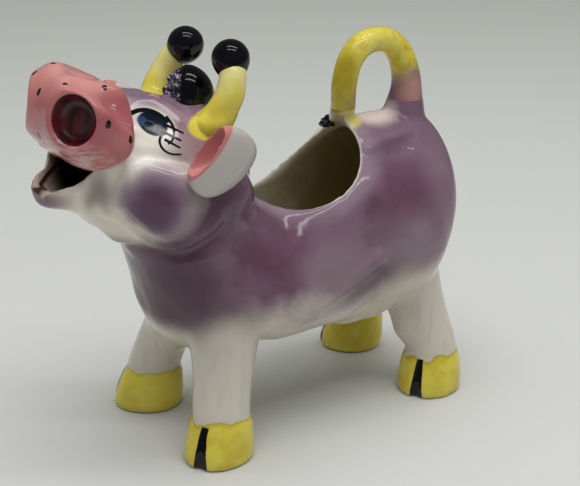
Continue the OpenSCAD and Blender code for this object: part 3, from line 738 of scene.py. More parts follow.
def makeEar(values, side, name):
    turn = Matrix.Rotation(math.radians(values["turn"][2]), 4, "Z") @ Matrix.Rotation(math.radians(values["turn"][1]), 4, "Y") \
        @ Matrix.Rotation(math.radians(values["turn"][0]), 4, "X")

    def leaf(label, scale, shift):
        rings = [(((0 + shift[0]), shift[1], (s - 0.5) * values["length"] * scale + shift[2]), (1, 0, 0), (0, 1, 0),
                  t * values["thick"] / 2 * scale, w * values["width"] / 2 * scale) for s, w, t in values["rows"]]
        return loft(label, rings, 24, 2)

    ear = leaf(name, 1.0, (0, 0, 0))
    cutter = leaf(name + "Cutter", values["hollow"], values["hollowShift"])
    cut = ear.modifiers.new("hollow", "BOOLEAN")
    cut.operation, cut.object, cut.solver = "DIFFERENCE", cutter, "EXACT"
    applyAll(ear)
    bpy.data.objects.remove(cutter)
    recast(ear, 0.4, 20)
    softenMesh(ear.data, 5)
    places, normals = meshArrays(ear.data)
    shift = values["hollowShift"]
    k = values["hollow"]
    reach = (((places[:, 0] - shift[0]) / (values["thick"] / 2 * k)) ** 2 + ((places[:, 1] - shift[1]) / (values["width"] / 2 * k)) ** 2
             + ((places[:, 2] - shift[2]) / (values["length"] / 2 * k)) ** 2) ** 0.5
    writeMask(ear.data, "hollow", np.clip((values["pink"][side] - reach) / 0.16, 0, 1) * (places[:, 1] < 0))
    axis, angle = values["droop"]
    turn = Matrix.Rotation(math.radians(angle), 4, Vector(axis)) @ turn
    turn.translation = Vector(values["middle"]) * mm
    if side < 0:
        turn.translation += Vector(values["farShift"]) * mm
        turn = Matrix.Scale(-1, 4, (1, 0, 0)) @ turn
    bm = bmesh.new()
    bm.from_mesh(ear.data)
    bmesh.ops.transform(bm, matrix=turn, verts=bm.verts)
    bmesh.ops.recalc_face_normals(bm, faces=bm.faces)
    bm.to_mesh(ear.data)
    bm.free()
    return ear


ears = {s: makeEar(earForm, k, s + "Ear") for s, k in (("left", 1), ("right", -1))}
print("ears ready")

# forelock: a dome of hair, rough on its front
forelockForm = {
    "foot": (0.2, -22.5, 106.0), "height": 12.5, "radius": 8.0,
    # the side that the dry brush roughened
    "rough": (-0.5645, -0.8254, 0),
    "rows": [(0, 0.98), (0.2, 1.0), (0.42, 0.97), (0.62, 0.86), (0.8, 0.66), (0.93, 0.4), (1, 0.14)],
}


def makeForelock(values):
    x, y, z = values["foot"]
    rings = [((x, y, z + s * values["height"]), (1, 0, 0), (0, 1, 0), r * values["radius"], r * values["radius"]) for s, r in values["rows"]]
    lock = loft("forelockDome", rings, 24, 3)
    places, normals = meshArrays(lock.data)
    front = np.clip((places - (x, y, z)) @ values["rough"] / 4.5, 0, 1) * np.clip((places[:, 2] - z) / 3, 0, 1)
    lift = np.array([noise.turbulence(Vector(p) / 2.2, 3, False) for p in places.tolist()])
    putPlaces(lock.data, places + normals * (front * (lift - 0.4) * 1.3)[:, None])
    writeMask(lock.data, "rough", front)
    return lock


forelock = makeForelock(forelockForm)

# the tuft at the end of the tail
tuftForm = {"path": [(-4.4, 35.4, 92.9, 2.2), (-6.2, 34.8, 92.1, 2.3), (-8.0, 34.3, 91.2, 1.9), (-9.4, 33.8, 90.4, 1.3), (-10.4, 33.4, 89.8, 0.5)]}


def makeTuft(values):
    tuft = sweep("tuft", values["path"], (1, 0.3, 0), 16, 2)
    places, normals = meshArrays(tuft.data)
    wave = np.sin(places[:, 2] * 3.0 + places[:, 1] * 2.5) * 0.16
    putPlaces(tuft.data, places + normals * wave[:, None])
    return tuft


tuft = makeTuft(tuftForm)
print("forelock and tuft ready")

# glazes and paint

white = tone(224, 218, 204)
lavender = tone(126, 99, 121)
purple = tone(114, 84, 105)
deepPurple = tone(90, 60, 79)
plum = tone(100, 58, 79)
yellow = tone(218, 203, 80)
deepYellow = tone(190, 168, 38)
black = tone(9, 9, 12)


def facePlane(tree, folded, origin):
    # the eye is drawn flat, in mm, on a plane that looks out and forward
    local = vec2(tree, "SUBTRACT", folded, origin)
    join = add(tree, "ShaderNodeCombineXYZ")
    link(tree, vec2(tree, "DOT_PRODUCT", local, (0.468, 0.884, 0.0)), join.inputs[0])
    link(tree, vec2(tree, "DOT_PRODUCT", local, (-0.218, 0.116, 0.969)), join.inputs[1])
    return join.outputs[0], vec2(tree, "DOT_PRODUCT", local, (0.856, -0.453, 0.247))


eyePaint = {
    "middle": (14.0, -42.4, 106.6),
    # two or more points in mm on the eye's plane, then the widths at the ends
    "lashes": [
        [(4.2, 1.5), (5.6, -0.6), (6.1, -2.6), (5.6, -4.9), (4.4, -6.0)],
        [(3.8, -3.1), (2.5, -3.6), (1.9, -5.4), (2.8, -7.5), (5.0, -8.9), (7.7, -9.1)],
        [(3.5, -0.5), (8.6, -3.1)],
        [(3.4, -2.8), (7.9, -5.2)],
        [(3.6, -4.9), (7.5, -7.2)],
    ],
    "lid": [(-5.9, 2.8), (-3.8, 3.6), (-1.0, 3.6), (1.9, 2.4), (4.3, 0.3)],
}


def curveThrough(points, steps=3):
    # more points on a smooth curve through the given ones
    if len(points) < 3:
        return points
    made = []
    rows = [Vector(q) for q in points]
    for i in range(len(rows) - 1):
        a, b, c, d = rows[max(i - 1, 0)], rows[i], rows[i + 1], rows[min(i + 2, len(rows) - 1)]
        for k in range(steps):
            t = k / steps
            made.append(0.5 * (2 * b + (c - a) * t + (2 * a - 5 * b + 4 * c - d) * t * t + (3 * b - a - 3 * c + d) * t ** 3))
    return made + [rows[-1]]


def paintEye(tree, colour, folded, paint):
    plane, depth = facePlane(tree, folded, paint["middle"])
    facing = ease(tree, depth, -7.0, -5.0)

    def spot(x, y, wide, tall, turn, edge):
        mapping = add(tree, "ShaderNodeMapping", vector_type="TEXTURE")
        mapping.inputs["Location"].default_value = (x, y, 0)
        mapping.inputs["Rotation"].default_value = (0, 0, math.radians(turn))
        mapping.inputs["Scale"].default_value = (wide, tall, 1)
        link(tree, plane, mapping.inputs[0])
        reach = vec2(tree, "LENGTH", mapping.outputs[0])
        return math2(tree, "SUBTRACT", 1.0, ease(tree, reach, 1.0 - edge, 1.0 + edge))

    def lay(mask, over):
        return mixColour(tree, math2(tree, "MULTIPLY", mask, facing), colour, over)

    colour = lay(spot(-0.6, -0.6, 7.4, 5.0, -24, 0.22), tone(232, 226, 214))
    colour = lay(spot(0.2, -0.2, 4.5, 3.1, -32, 0.07), tone(14, 26, 36))
    colour = lay(spot(-2.9, 0.7, 1.5, 1.2, -50, 0.4), tone(52, 68, 122))
    colour = lay(spot(-0.7, -0.7, 2.1, 1.25, -32, 0.1), tone(64, 84, 98))
    colour = lay(spot(-0.7, -0.7, 1.8, 0.98, -32, 0.12), tone(10, 20, 30))
    strokes = [(curveThrough(paint["lid"]), 0.62, 0.45)] + [(curveThrough(line), 0.34, 0.2) for line in paint["lashes"]]
    ink = None
    for line, thick, thin in strokes:
        for i, (a, b) in enumerate(zip(line[:-1], line[1:])):
            widths = [thick + (thin - thick) * (i + k) / (len(line) - 1) for k in (0, 1)]
            mark = place(tree, brushStroke, Place=plane, Start=(a[0], a[1], 0), End=(b[0], b[1], 0),
                         Start_Width=widths[0], End_Width=widths[1], Edge=0.16)
            ink = mark.outputs[0] if ink is None else math2(tree, "MAXIMUM", ink, mark.outputs[0])
    return lay(ink, tone(14, 18, 26))


# centre, size, fade, paint and amount of each sprayed patch, in mm on the cow's left side; a few are painted shade
bodyPatches = [
    ((18, -38, 52), (16, 15, 16), 0.5, tone(80, 52, 70), 0.9),
    ((6, -40, 47), (16, 9, 9), 0.5, tone(84, 60, 74), 0.9),
    ((24, -8, 62), (10, 12, 9), 0.8, plum, 0.6),
    ((25, 46, 72), (13, 14, 12), 0.8, plum, 0.65),
    ((26, -22, 35), (10, 10, 11), 0.6, tone(204, 196, 184), 0.8),
    ((28, 44, 56), (10, 18, 10), 0.8, tone(148, 132, 140), 0.6),
    # painted shade: darker lilac in the flank fold
    ((28, 24, 46), (8, 9, 6), 0.8, tone(112, 92, 102), 0.7),
    ((28, 12, 52), (8, 10, 9), 0.8, tone(150, 132, 140), 0.6),
    ((24, 62, 74), (14, 8, 14), 0.8, tone(142, 122, 132), 0.5),
    ((14, -28, 80), (14, 9, 8), 0.8, tone(84, 60, 76), 0.6),
    ((27, 47, 38), (12, 17, 11), 0.5, tone(208, 200, 188), 0.9),
    ((8, 62, 58), (16, 12, 12), 0.7, tone(168, 154, 160), 0.5),
    ((27, 8, 40), (8, 15, 5), 0.8, tone(178, 164, 166), 0.6),
    ((0, 46, 96), (11, 8, 5), 0.4, tone(228, 212, 206), 0.9),
    ((0, 36, 94.5), (7.5, 4.5, 4), 0.25, yellow, 0.9),
]
headPatches = [
    ((0, -31, 114.5), (18, 19, 9), 0.4, tone(124, 96, 119), 0.95),
    ((18, -32, 106), (9, 8, 8), 0.8, tone(146, 114, 126), 0.8),
    # painted light: the white under the eye is brighter than the white glaze, for the light that falls there
    ((15, -46.5, 99.5), (8, 8, 6), 0.6, tone(250, 247, 239), 1.0),
    ((23, -31, 98), (8, 9, 9), 0.8, tone(148, 114, 122), 0.8),
    ((20.6, -45.4, 85.4), (10.5, 11, 10.4), 0.3, tone(146, 124, 142), 0.8),
    ((20.6, -45, 84.8), (8.4, 9, 8.6), 0.4, tone(100, 72, 96), 1.0),
    ((20.8, -45, 83.6), (6, 7, 6.6), 0.7, tone(84, 57, 80), 0.85),
    # painted shade: a darker mauve band in the crease at the corner of the mouth
    ((12.4, -59.5, 86), (3.4, 3.6, 8), 0.8, tone(112, 82, 98), 0.75),
    # purple glaze, darkened under the ear as painted shadow
    ((27, -25, 83), (9, 12, 11), 0.6, tone(98, 72, 88), 0.9),
    ((18.0, -26.5, 104), (6.6, 6.2, 3.6), 0.15, yellow, 1.0),
]
# path, half width, soft edge, paint and amount of the lines on the head
headLines = [
    # the pale line along the brow ridge is partly its pale glaze and partly a painted highlight
    ([(9.8, -47.5, 110.2), (8.7, -43.5, 111.8), (10.2, -40, 111.8), (13.3, -37.2, 109.8), (16.2, -35.2, 106.8)],
     0.15, 1.0, tone(206, 186, 200), 0.65),
    ([(3, -32.5, 112.6), (7.6, -30, 111.6), (11.4, -26, 109.8)], 0.3, 0.8, tone(222, 206, 214), 0.8),
]


def paintCast():
    mat, tree, shader, spot, glaze = startGlaze("castGlaze", ripple=1.0, pinholes=0.5)
    here, folded = spot.outputs["Place"], spot.outputs["Folded"]
    parts = add(tree, "ShaderNodeSeparateXYZ")
    link(tree, here, parts.inputs[0])
    cloud = add(tree, "ShaderNodeTexNoise")
    cloud.inputs["Scale"].default_value = 0.07
    cloud.inputs["Detail"].default_value = 4
    link(tree, here, cloud.inputs["Vector"])
    sway = math2(tree, "MULTIPLY", math2(tree, "SUBTRACT", cloud.outputs[0], 0.5), 20.0)
    # the sprayed coat starts above the legs and the belly
    coat = ease(tree, math2(tree, "ADD", parts.outputs[2], sway), 34.0, 52.0)
    sprayed = mixColour(tree, ease(tree, cloud.outputs[0], 0.38, 0.62), purple, deepPurple)
    sprayed = mixColour(tree, math2(tree, "MULTIPLY", ease(tree, parts.outputs[2], 66.0, 92.0), 0.45), sprayed, lavender)
    colour = mixColour(tree, math2(tree, "MULTIPLY", coat, 0.96), white, sprayed)

    def lay(mask, paint, amount=1.0):
        nonlocal colour
        colour = mixColour(tree, math2(tree, "MULTIPLY", mask, amount), colour, paint)

    def patch(centre, size, fade, paint, amount=1.0, wander=0.12):
        mask = place(tree, softPatch, Place=folded, Centre=centre, Size=size, Fade=fade, Wander=wander)
        lay(mask.outputs[0], paint, amount)

    for centre, size, fade, paint, amount in bodyPatches:
        patch(centre, size, fade, paint, amount)
    # the legs grey towards the feet as painted shade, and faint brush marks run down them
    marks = add(tree, "ShaderNodeTexNoise")
    marks.inputs["Detail"].default_value = 3
    marks.inputs["Scale"].default_value = 1.0
    link(tree, vec2(tree, "MULTIPLY", here, (0.42, 0.42, 0.05)), marks.inputs["Vector"])
    # painted shade: the white greys towards the feet
    low = math2(tree, "SUBTRACT", 1.0, ease(tree, parts.outputs[2], 30.0, 44.0))
    lay(low, tone(202, 195, 182), 0.7)
    lay(math2(tree, "MULTIPLY", ease(tree, marks.outputs[0], 0.48, 0.72), low), tone(176, 164, 160), 0.25)
    # the head: white face and jaw, purple crown and a soft purple ball on each jowl
    patch((0, -46, 91.5), (33, 24, 22), 0.16, white, 1.0, 0.05)
    for centre, size, fade, paint, amount in headPatches:
        patch(centre, size, fade, paint, amount)
    for path, width, edge, paint, amount in headLines:
        points = [tuple(q) for q in curveThrough(path)]
        line = [place(tree, brushStroke, Place=folded, Start=a, End=b, Start_Width=width, End_Width=width, Edge=edge)
                for a, b in zip(points[:-1], points[1:])]
        mask = line[0].outputs[0]
        for part in line[1:]:
            mask = math2(tree, "MAXIMUM", mask, part.outputs[0])
        lay(mask, paint, amount)
    colour = paintEye(tree, colour, folded, eyePaint)
    # the rim of the filling hole is left white, broader on the far side; on the near side the thin line also stands in
    # for the rim's highlight
    local = vec2(tree, "SUBTRACT", here, holePaint["middle"])
    slope = math.radians(holePaint["tilt"])
    across = math2(tree, "DIVIDE", vec2(tree, "DOT_PRODUCT", local, (1, 0, 0)), holePaint["width"] / 2)
    along = math2(tree, "DIVIDE", vec2(tree, "DOT_PRODUCT", local, (0, math.cos(slope), math.sin(slope))), holePaint["length"] / 2)
    reach = math2(tree, "SQRT", math2(tree, "ADD", math2(tree, "MULTIPLY", across, across), math2(tree, "MULTIPLY", along, along)))
    depth = vec2(tree, "DOT_PRODUCT", local, (0, -math.sin(slope), math.cos(slope)))
    high = math2(tree, "SUBTRACT", 1.0, ease(tree, math2(tree, "ABSOLUTE", depth), 12.0, 15.0))
    high = math2(tree, "MULTIPLY", high, math2(tree, "SUBTRACT", 1.0, ease(tree, depth, 1.5, 3.5)))
    thin = math2(tree, "MULTIPLY", math2(tree, "SUBTRACT", 1.0, ease(tree, reach, 1.03, 1.08)), high)
    broad = math2(tree, "MULTIPLY", math2(tree, "SUBTRACT", 1.0, ease(tree, reach, 1.12, 1.42)), high)
    lay(broad, tone(186, 170, 180), 0.25)
    farSide = math2(tree, "SUBTRACT", 1.0, ease(tree, parts.outputs[0], -6.0, 2.0))
    lay(math2(tree, "MULTIPLY", broad, farSide), white, 0.9)
    # white glaze and painted highlight: the thin line round the rim
    lay(thin, tone(216, 210, 200), 0.95)
    # a few iron specks
    specks = add(tree, "ShaderNodeTexVoronoi")
    specks.inputs["Scale"].default_value = 0.5
    link(tree, here, specks.inputs["Vector"])
    few = place(tree, softPatch, Place=here, Centre=(24.6, 44.9, 72.3), Size=(4, 4, 3), Fade=0.3, Wander=0.1)
    dots = math2(tree, "SUBTRACT", 1.0, ease(tree, specks.outputs["Distance"], 0.1, 0.17))
    lay(math2(tree, "MULTIPLY", dots, few.outputs[0]), tone(104, 16, 34), 0.9)
    # the inside turns olive towards the tail, grey at the lip and darker deeper into the head as painted shade, with
    # wine red in the mouth
    inner = add(tree, "ShaderNodeAttribute", attribute_name="inside")
    inside = ease(tree, inner.outputs["Fac"], 0.2, 0.8)
    olive = mixColour(tree, ease(tree, math2(tree, "ADD", parts.outputs[1], sway), 14.0, 44.0), tone(226, 220, 202), tone(150, 132, 88))
    # painted shade: grey at the lip, nearly black deeper in the hollow head
    throat = mixColour(tree, ease(tree, parts.outputs[1], -69.0, -60.0), tone(188, 174, 162), tone(30, 20, 18))
    within = mixColour(tree, ease(tree, parts.outputs[1], -40.0, -34.0), throat, olive)
    lay(inside, within)
    rim = math2(tree, "ADD", math2(tree, "MULTIPLY", math2(tree, "ADD", parts.outputs[1], 52.1), 0.442), 97.3)
    belowRim = math2(tree, "SUBTRACT", rim, parts.outputs[2])
    band = math2(tree, "MULTIPLY", ease(tree, belowRim, 0.3, 0.8), math2(tree, "SUBTRACT", 1.0, ease(tree, belowRim, 1.5, 2.4)))
    ahead = math2(tree, "SUBTRACT", 1.0, ease(tree, parts.outputs[0], -1.0, 3.0))
    lay(math2(tree, "MULTIPLY", math2(tree, "MULTIPLY", band, inside), ahead), tone(54, 12, 15), 0.95)
    link(tree, colour, shader.inputs["Base Color"])
    return mat


# the dots on the muzzle, in mm, and the short stroke that makes each
muzzleDots = {
    "places": [(-7.5, -61.7, 122.8), (-10.1, -66.5, 119.7), (8.4, -65.3, 120.8), (-1.9, -69.1, 116.1), (13.2, -54.8, 121.2),
               (20.5, -59.1, 110.0), (19.1, -53.7, 104.8), (-1.9, -70.0, 103.6), (-8.4, -71.1, 109.3), (-16.2, -57.4, 119.8),
               (-20.5, -59.1, 110.0), (-16.6, -50.8, 103.7), (3, -54, 122.4)],
    "stroke": (0.05, 0.15, 0.42), "width": 0.72,
}


def paintMuzzle():
    mat, tree, shader, spot, glaze = startGlaze("muzzleGlaze", ripple=0.8, pinholes=0.3, shine=0.5)
    here, folded = spot.outputs["Place"], spot.outputs["Folded"]
    colour = mixColour(tree, ease(tree, glaze.outputs["Cloud"], 0.3, 0.7), tone(182, 107, 107), tone(164, 89, 93))
    # painted light: the top of the muzzle is paler, for the sheen of the light from above
    above = place(tree, softPatch, Place=here, Centre=(2, -60, 122), Size=(24, 10, 7), Fade=0.7, Wander=0.1)
    colour = mixColour(tree, math2(tree, "MULTIPLY", above.outputs[0], 0.8), colour, tone(214, 152, 144))
    # painted light: the far end of the muzzle is paler, for the light from the front
    paintedLightFarLobe = place(tree, softPatch, Place=here, Centre=(-14, -68, 111), Size=(9, 9, 11), Fade=0.8, Wander=0.1)
    colour = mixColour(tree, math2(tree, "MULTIPLY", paintedLightFarLobe.outputs[0], 0.7), colour, tone(216, 148, 142))
    under = place(tree, softPatch, Place=folded, Centre=(9, -67, 97), Size=(14, 9, 7), Fade=0.6, Wander=0.2, Wander_Scale=0.3)
    marks = add(tree, "ShaderNodeTexNoise")
    marks.inputs["Detail"].default_value = 3
    marks.inputs["Scale"].default_value = 1.0
    link(tree, vec2(tree, "MULTIPLY", here, (0.12, 0.3, 1.1)), marks.inputs["Vector"])
    streaks = math2(tree, "MULTIPLY", under.outputs[0], ease(tree, marks.outputs[0], 0.36, 0.62))
    colour = mixColour(tree, math2(tree, "MULTIPLY", streaks, 0.75), colour, tone(214, 182, 180))
    for dotPlace in muzzleDots["places"]:
        _, nearest, _, _ = muzzle.closest_point_on_mesh(Vector(dotPlace) * mm)
        centre, half = nearest / mm, Vector(muzzleDots["stroke"])
        dot = place(tree, brushStroke, Place=here, Start=tuple(centre - half), End=tuple(centre + half),
                    Start_Width=muzzleDots["width"], End_Width=muzzleDots["width"] * 0.8, Edge=0.2)
        colour = mixColour(tree, dot.outputs[0], colour, tone(26, 12, 16))
    cup = add(tree, "ShaderNodeAttribute", attribute_name="cup")
    runs = add(tree, "ShaderNodeTexNoise")
    runs.inputs["Detail"].default_value = 2
    runs.inputs["Scale"].default_value = 1.0
    link(tree, vec2(tree, "MULTIPLY", here, (0.34, 0.34, 0.1)), runs.inputs["Vector"])
    wine = mixColour(tree, ease(tree, runs.outputs[0], 0.4, 0.7), tone(44, 2, 8), tone(92, 12, 24))
    inCup = ease(tree, cup.outputs["Fac"], 0.35, 0.6)
    colour = mixColour(tree, inCup, colour, wine)
    link(tree, math2(tree, "ADD", glaze.outputs["Roughness"], math2(tree, "MULTIPLY", inCup, 0.3)), shader.inputs["Roughness"])
    link(tree, colour, shader.inputs["Base Color"])
    return mat


def paintPlain(name, first, second, ripple=1.0, gloss=0.1):
    mat, tree, shader, spot, glaze = startGlaze(name, ripple=ripple, pinholes=0.3, gloss=gloss)
    colour = mixColour(tree, ease(tree, glaze.outputs["Cloud"], 0.35, 0.65), first, second)
    link(tree, colour, shader.inputs["Base Color"])
    return mat


def paintTail():
    mat, tree, shader, spot, glaze = startGlaze("tailGlaze", pinholes=0.3)
    here = spot.outputs["Place"]
    streaks = add(tree, "ShaderNodeTexNoise")
    streaks.inputs["Scale"].default_value = 0.25
    streaks.inputs["Detail"].default_value = 3
    link(tree, here, streaks.inputs["Vector"])
    colour = mixColour(tree, math2(tree, "MULTIPLY", ease(tree, streaks.outputs[0], 0.42, 0.7), 0.8), yellow, deepYellow)

    def patch(centre, size, fade, paint, amount=1.0, wander=0.12):
        nonlocal colour
        mask = place(tree, softPatch, Place=here, Centre=centre, Size=size, Fade=fade, Wander=wander, Wander_Scale=0.2)
        colour = mixColour(tree, math2(tree, "MULTIPLY", mask.outputs[0], amount), colour, paint)

    patch((0, 62, 97), (14, 9, 12), 0.3, purple, 1.0)
    # painted highlight: a paler orange-pink spot where the tail leaves the rump
    patch((6, 60, 102), (5, 5, 5), 0.8, tone(196, 148, 128), 0.75)
    patch((0, 44, 95), (9, 4.5, 4), 0.3, tone(228, 212, 206), 0.9)
    patch((3, 34, 108), (5, 4.5, 11), 0.7, tone(158, 138, 34), 0.8)
    patch((-2, 52, 125), (8, 14, 3), 0.8, deepYellow, 0.6)
    # painted highlight: a paler yellow along the top of the loop
    patch((7, 44, 120), (4, 10, 5), 0.8, tone(232, 222, 120), 0.7)
    patch((5, 38, 99), (5, 4, 4), 0.6, tone(120, 84, 84), 0.5)
    specks = add(tree, "ShaderNodeTexVoronoi")
    specks.inputs["Scale"].default_value = 1.3
    link(tree, here, specks.inputs["Vector"])
    few = place(tree, softPatch, Place=here, Centre=(4, 41, 120), Size=(7, 7, 5), Fade=0.5, Wander=0.2)
    dots = math2(tree, "MULTIPLY", math2(tree, "SUBTRACT", 1.0, ease(tree, specks.outputs["Distance"], 0.12, 0.22)), few.outputs[0])
    colour = mixColour(tree, math2(tree, "MULTIPLY", dots, 0.8), colour, tone(44, 58, 30))
    link(tree, colour, shader.inputs["Base Color"])
    return mat


hoofPaint = {"top": 13.4, "stripe": 2.4, "turn": 28, "feet": {"front": (22.5, -27.75), "rear": (22.0, 57.75)}}


def paintHooves():
    mat, tree, shader, spot, glaze = startGlaze("hoofGlaze", pinholes=0.3)
    here, folded = spot.outputs["Place"], spot.outputs["Folded"]
    parts = add(tree, "ShaderNodeSeparateXYZ")
    link(tree, folded, parts.inputs[0])
    wave = add(tree, "ShaderNodeTexNoise")
    wave.inputs["Scale"].default_value = 0.12
    link(tree, here, wave.inputs["Vector"])
    height = math2(tree, "ADD", parts.outputs[2], math2(tree, "MULTIPLY", math2(tree, "SUBTRACT", wave.outputs[0], 0.5), 7.0))
    dipped = math2(tree, "SUBTRACT", 1.0, ease(tree, height, hoofPaint["top"] - 0.25, hoofPaint["top"] + 0.25))
    brushed = mixColour(tree, math2(tree, "MULTIPLY", ease(tree, glaze.outputs["Cloud"], 0.38, 0.62), 0.55), yellow, deepYellow)
    pooled = math2(tree, "MULTIPLY", ease(tree, height, hoofPaint["top"] - 1.6, hoofPaint["top"]), 0.5)
    brushed = mixColour(tree, pooled, brushed, tone(146, 122, 40))
    # the white above the hoof glaze is the greyed white of the legs, painted shade
    colour = mixColour(tree, dipped, tone(204, 197, 184), brushed)
    toe = math.radians(hoofPaint["turn"])
    for x, y in hoofPaint["feet"].values():
        foot = vec2(tree, "SUBTRACT", folded, (x, y, 0))
        across = vec2(tree, "DOT_PRODUCT", foot, (math.cos(toe), math.sin(toe), 0))
        ahead = vec2(tree, "DOT_PRODUCT", foot, (math.sin(toe), -math.cos(toe), 0))
        wobble = math2(tree, "MULTIPLY", math2(tree, "SUBTRACT", wave.outputs[0], 0.5), 1.6)
        gap = math2(tree, "ABSOLUTE", math2(tree, "ADD", across, wobble))
        narrow = math2(tree, "SUBTRACT", hoofPaint["stripe"], math2(tree, "MULTIPLY", parts.outputs[2], 0.1))
        line = math2(tree, "SUBTRACT", 1.0, ease(tree, math2(tree, "SUBTRACT", gap, narrow), -0.15, 0.15))
        inFront = math2(tree, "MULTIPLY", ease(tree, ahead, 5.0, 6.0), math2(tree, "SUBTRACT", 1.0, ease(tree, ahead, 16.0, 18.0)))
        belowTop = math2(tree, "SUBTRACT", 1.0, ease(tree, parts.outputs[2], 12.6, 13.1))
        colour = mixColour(tree, math2(tree, "MULTIPLY", math2(tree, "MULTIPLY", line, inFront), belowTop), colour, black)
    # the foot ring is bare clay with a grey edge
    colour = mixColour(tree, math2(tree, "SUBTRACT", 1.0, ease(tree, parts.outputs[2], 0.25, 0.7)), colour, tone(150, 140, 128))
    link(tree, colour, shader.inputs["Base Color"])
    return mat


def paintEar():
    mat, tree, shader, spot, glaze = startGlaze("earGlaze", pinholes=0.3)
    hollow = add(tree, "ShaderNodeAttribute", attribute_name="hollow")
    # the white of the ear is greyed as painted shade; the hollow is pink
    colour = mixColour(tree, ease(tree, hollow.outputs["Fac"], 0.2, 0.7), tone(190, 183, 178), tone(196, 124, 124))
    link(tree, colour, shader.inputs["Base Color"])
    return mat


def paintHorn():
    # lemon glaze that thins to cream under the ball and pools at the foot
    mat, tree, shader, spot, glaze = startGlaze("hornGlaze", pinholes=0.4)
    here = spot.outputs["Place"]
    parts = add(tree, "ShaderNodeSeparateXYZ")
    link(tree, here, parts.inputs[0])
    runs = add(tree, "ShaderNodeTexNoise")
    runs.inputs["Detail"].default_value = 3
    runs.inputs["Scale"].default_value = 1.0
    link(tree, vec2(tree, "MULTIPLY", here, (0.3, 0.3, 0.12)), runs.inputs["Vector"])
    sway = math2(tree, "MULTIPLY", math2(tree, "SUBTRACT", runs.outputs[0], 0.5), 14.0)
    height = math2(tree, "ADD", parts.outputs[2], sway)
    thin = math2(tree, "MULTIPLY", ease(tree, height, 110.0, 118.0), 0.7)
    pool = math2(tree, "MULTIPLY", math2(tree, "SUBTRACT", 1.0, ease(tree, height, 102.0, 107.0)), 0.5)
    colour = mixColour(tree, thin, yellow, tone(228, 220, 156))
    colour = mixColour(tree, pool, colour, deepYellow)
    link(tree, colour, shader.inputs["Base Color"])
    return mat


def paintForelock():
    # glossy black, with the crackle of a dry brush over its rough front
    mat, tree, shader, spot, glaze = startGlaze("forelockGlaze", pinholes=0.3, gloss=0.08, shine=0.3)
    here = spot.outputs["Place"]
    rough = add(tree, "ShaderNodeAttribute", attribute_name="rough")
    cells = add(tree, "ShaderNodeTexVoronoi", feature="DISTANCE_TO_EDGE")
    cells.inputs["Scale"].default_value = 0.85
    link(tree, here, cells.inputs["Vector"])
    grain = add(tree, "ShaderNodeTexNoise")
    grain.inputs["Scale"].default_value = 0.9
    grain.inputs["Detail"].default_value = 4
    link(tree, here, grain.inputs["Vector"])
    veil = mixColour(tree, ease(tree, grain.outputs[0], 0.4, 0.6), tone(20, 19, 26), tone(80, 74, 92))
    cracks = math2(tree, "SUBTRACT", 1.0, ease(tree, cells.outputs["Distance"], 0.02, 0.09))
    flecks = math2(tree, "MULTIPLY", cracks, ease(tree, grain.outputs[0], 0.5, 0.58))
    veil = mixColour(tree, flecks, veil, tone(206, 202, 214))
    colour = mixColour(tree, ease(tree, rough.outputs["Fac"], 0.3, 0.6), black, veil)
    link(tree, colour, shader.inputs["Base Color"])
    return mat


castGlaze = paintCast()
tailPiece = cutOff(cast, "tailLoop", (0, 0, 97.5), (0, 0, -1), ((-20, 20, 96), (20, 80, 140)))
hoofNames = {"frontLeft": (22.5, -28), "frontRight": (-22.5, -28), "rearLeft": (22, 57.7), "rearRight": (-22, 57.7)}
hoofPieces = {}
for label, (x, y) in hoofNames.items():
    hoofPieces[label] = cutOff(cast, label + "Hoof", (0, 0, castBody["hoofCut"]), (0, 0, 1), ((x - 18, y - 20, -5), (x + 18, y + 20, 18)))
cutAway(cast, (0, 0, castBody["hoofCut"]), (0, 0, -1))
print("cast split:", len(cast.data.polygons), "faces left")


def takeOffTail(source):
    bm = bmesh.new()
    bm.from_mesh(source.data)
    gone = [v for v in bm.verts if v.co.z > 97.5 * mm and v.co.y > 20 * mm]
    geom = set(gone)
    faces = {f for v in gone for f in v.link_faces}
    geom.update(faces)
    for f in faces:
        geom.update(f.verts)
        geom.update(f.edges)
    bmesh.ops.bisect_plane(bm, geom=list(geom), dist=1e-6, plane_co=(0, 0, 97.5 * mm), plane_no=(0, 0, 1), clear_outer=False)
    gone = [v for v in bm.verts if v.co.z > 97.5 * mm + 1e-6 and v.co.y > 20 * mm]
    bmesh.ops.delete(bm, geom=gone, context="VERTS")
    closeRims(bm)
    bm.to_mesh(source.data)
    bm.free()
    source.data.update()


takeOffTail(cast)
cast.name = "pottery"
dress(cast, castGlaze, ["body_shell", "head_shell", "pouring_lip", "front_left_leg", "front_right_leg", "rear_left_leg", "rear_right_leg"])
dress(tailPiece, paintTail(), ["tail_handle"])
hoofGlaze = paintHooves()
for label, node in (("frontLeft", "front_left_hoof"), ("frontRight", "front_right_hoof"), ("rearLeft", "rear_left_hoof"), ("rearRight", "rear_right_hoof")):
    dress(hoofPieces[label], hoofGlaze, [node])
dress(muzzle, paintMuzzle(), ["muzzle"])
hornGlaze = paintHorn()
enamel = paintPlain("blackEnamel", black, tone(14, 14, 18), gloss=0.07)
earGlaze = paintEar()
for side in ("left", "right"):
    dress(horns[side], hornGlaze, [side + "_horn"])
    dress(balls[side], enamel, [side + "_horn_knob"])
    dress(ears[side], earGlaze, [side + "_ear"])
dress(forelock, paintForelock(), ["forelock"])
dress(tuft, enamel, ["tail_tuft"])
print("glazes ready")

# floor and light
studio = {
    # the floor paper is painted a little darker and greener away from the camera, as painted shade
    "floor": tone(208, 209, 206), "far": tone(203, 207, 200),
    # strength of the room's air as it lights things and as it shows in the glaze
    "air": (0.86, 0.88, 0.88, 1), "fill": 0.34, "reflected": 0.12,
    # the tubes overhead: middle, length and width, distance between them, power of each
    "tubes": {"middle": (0.27, 0.0, 0.95), "size": (0.8, 0.06), "gap": 0.34, "power": 1.52},
    "panel": {"middle": (0.05, 0.0, 1.4), "size": (2.0, 1.8), "power": 17},
}


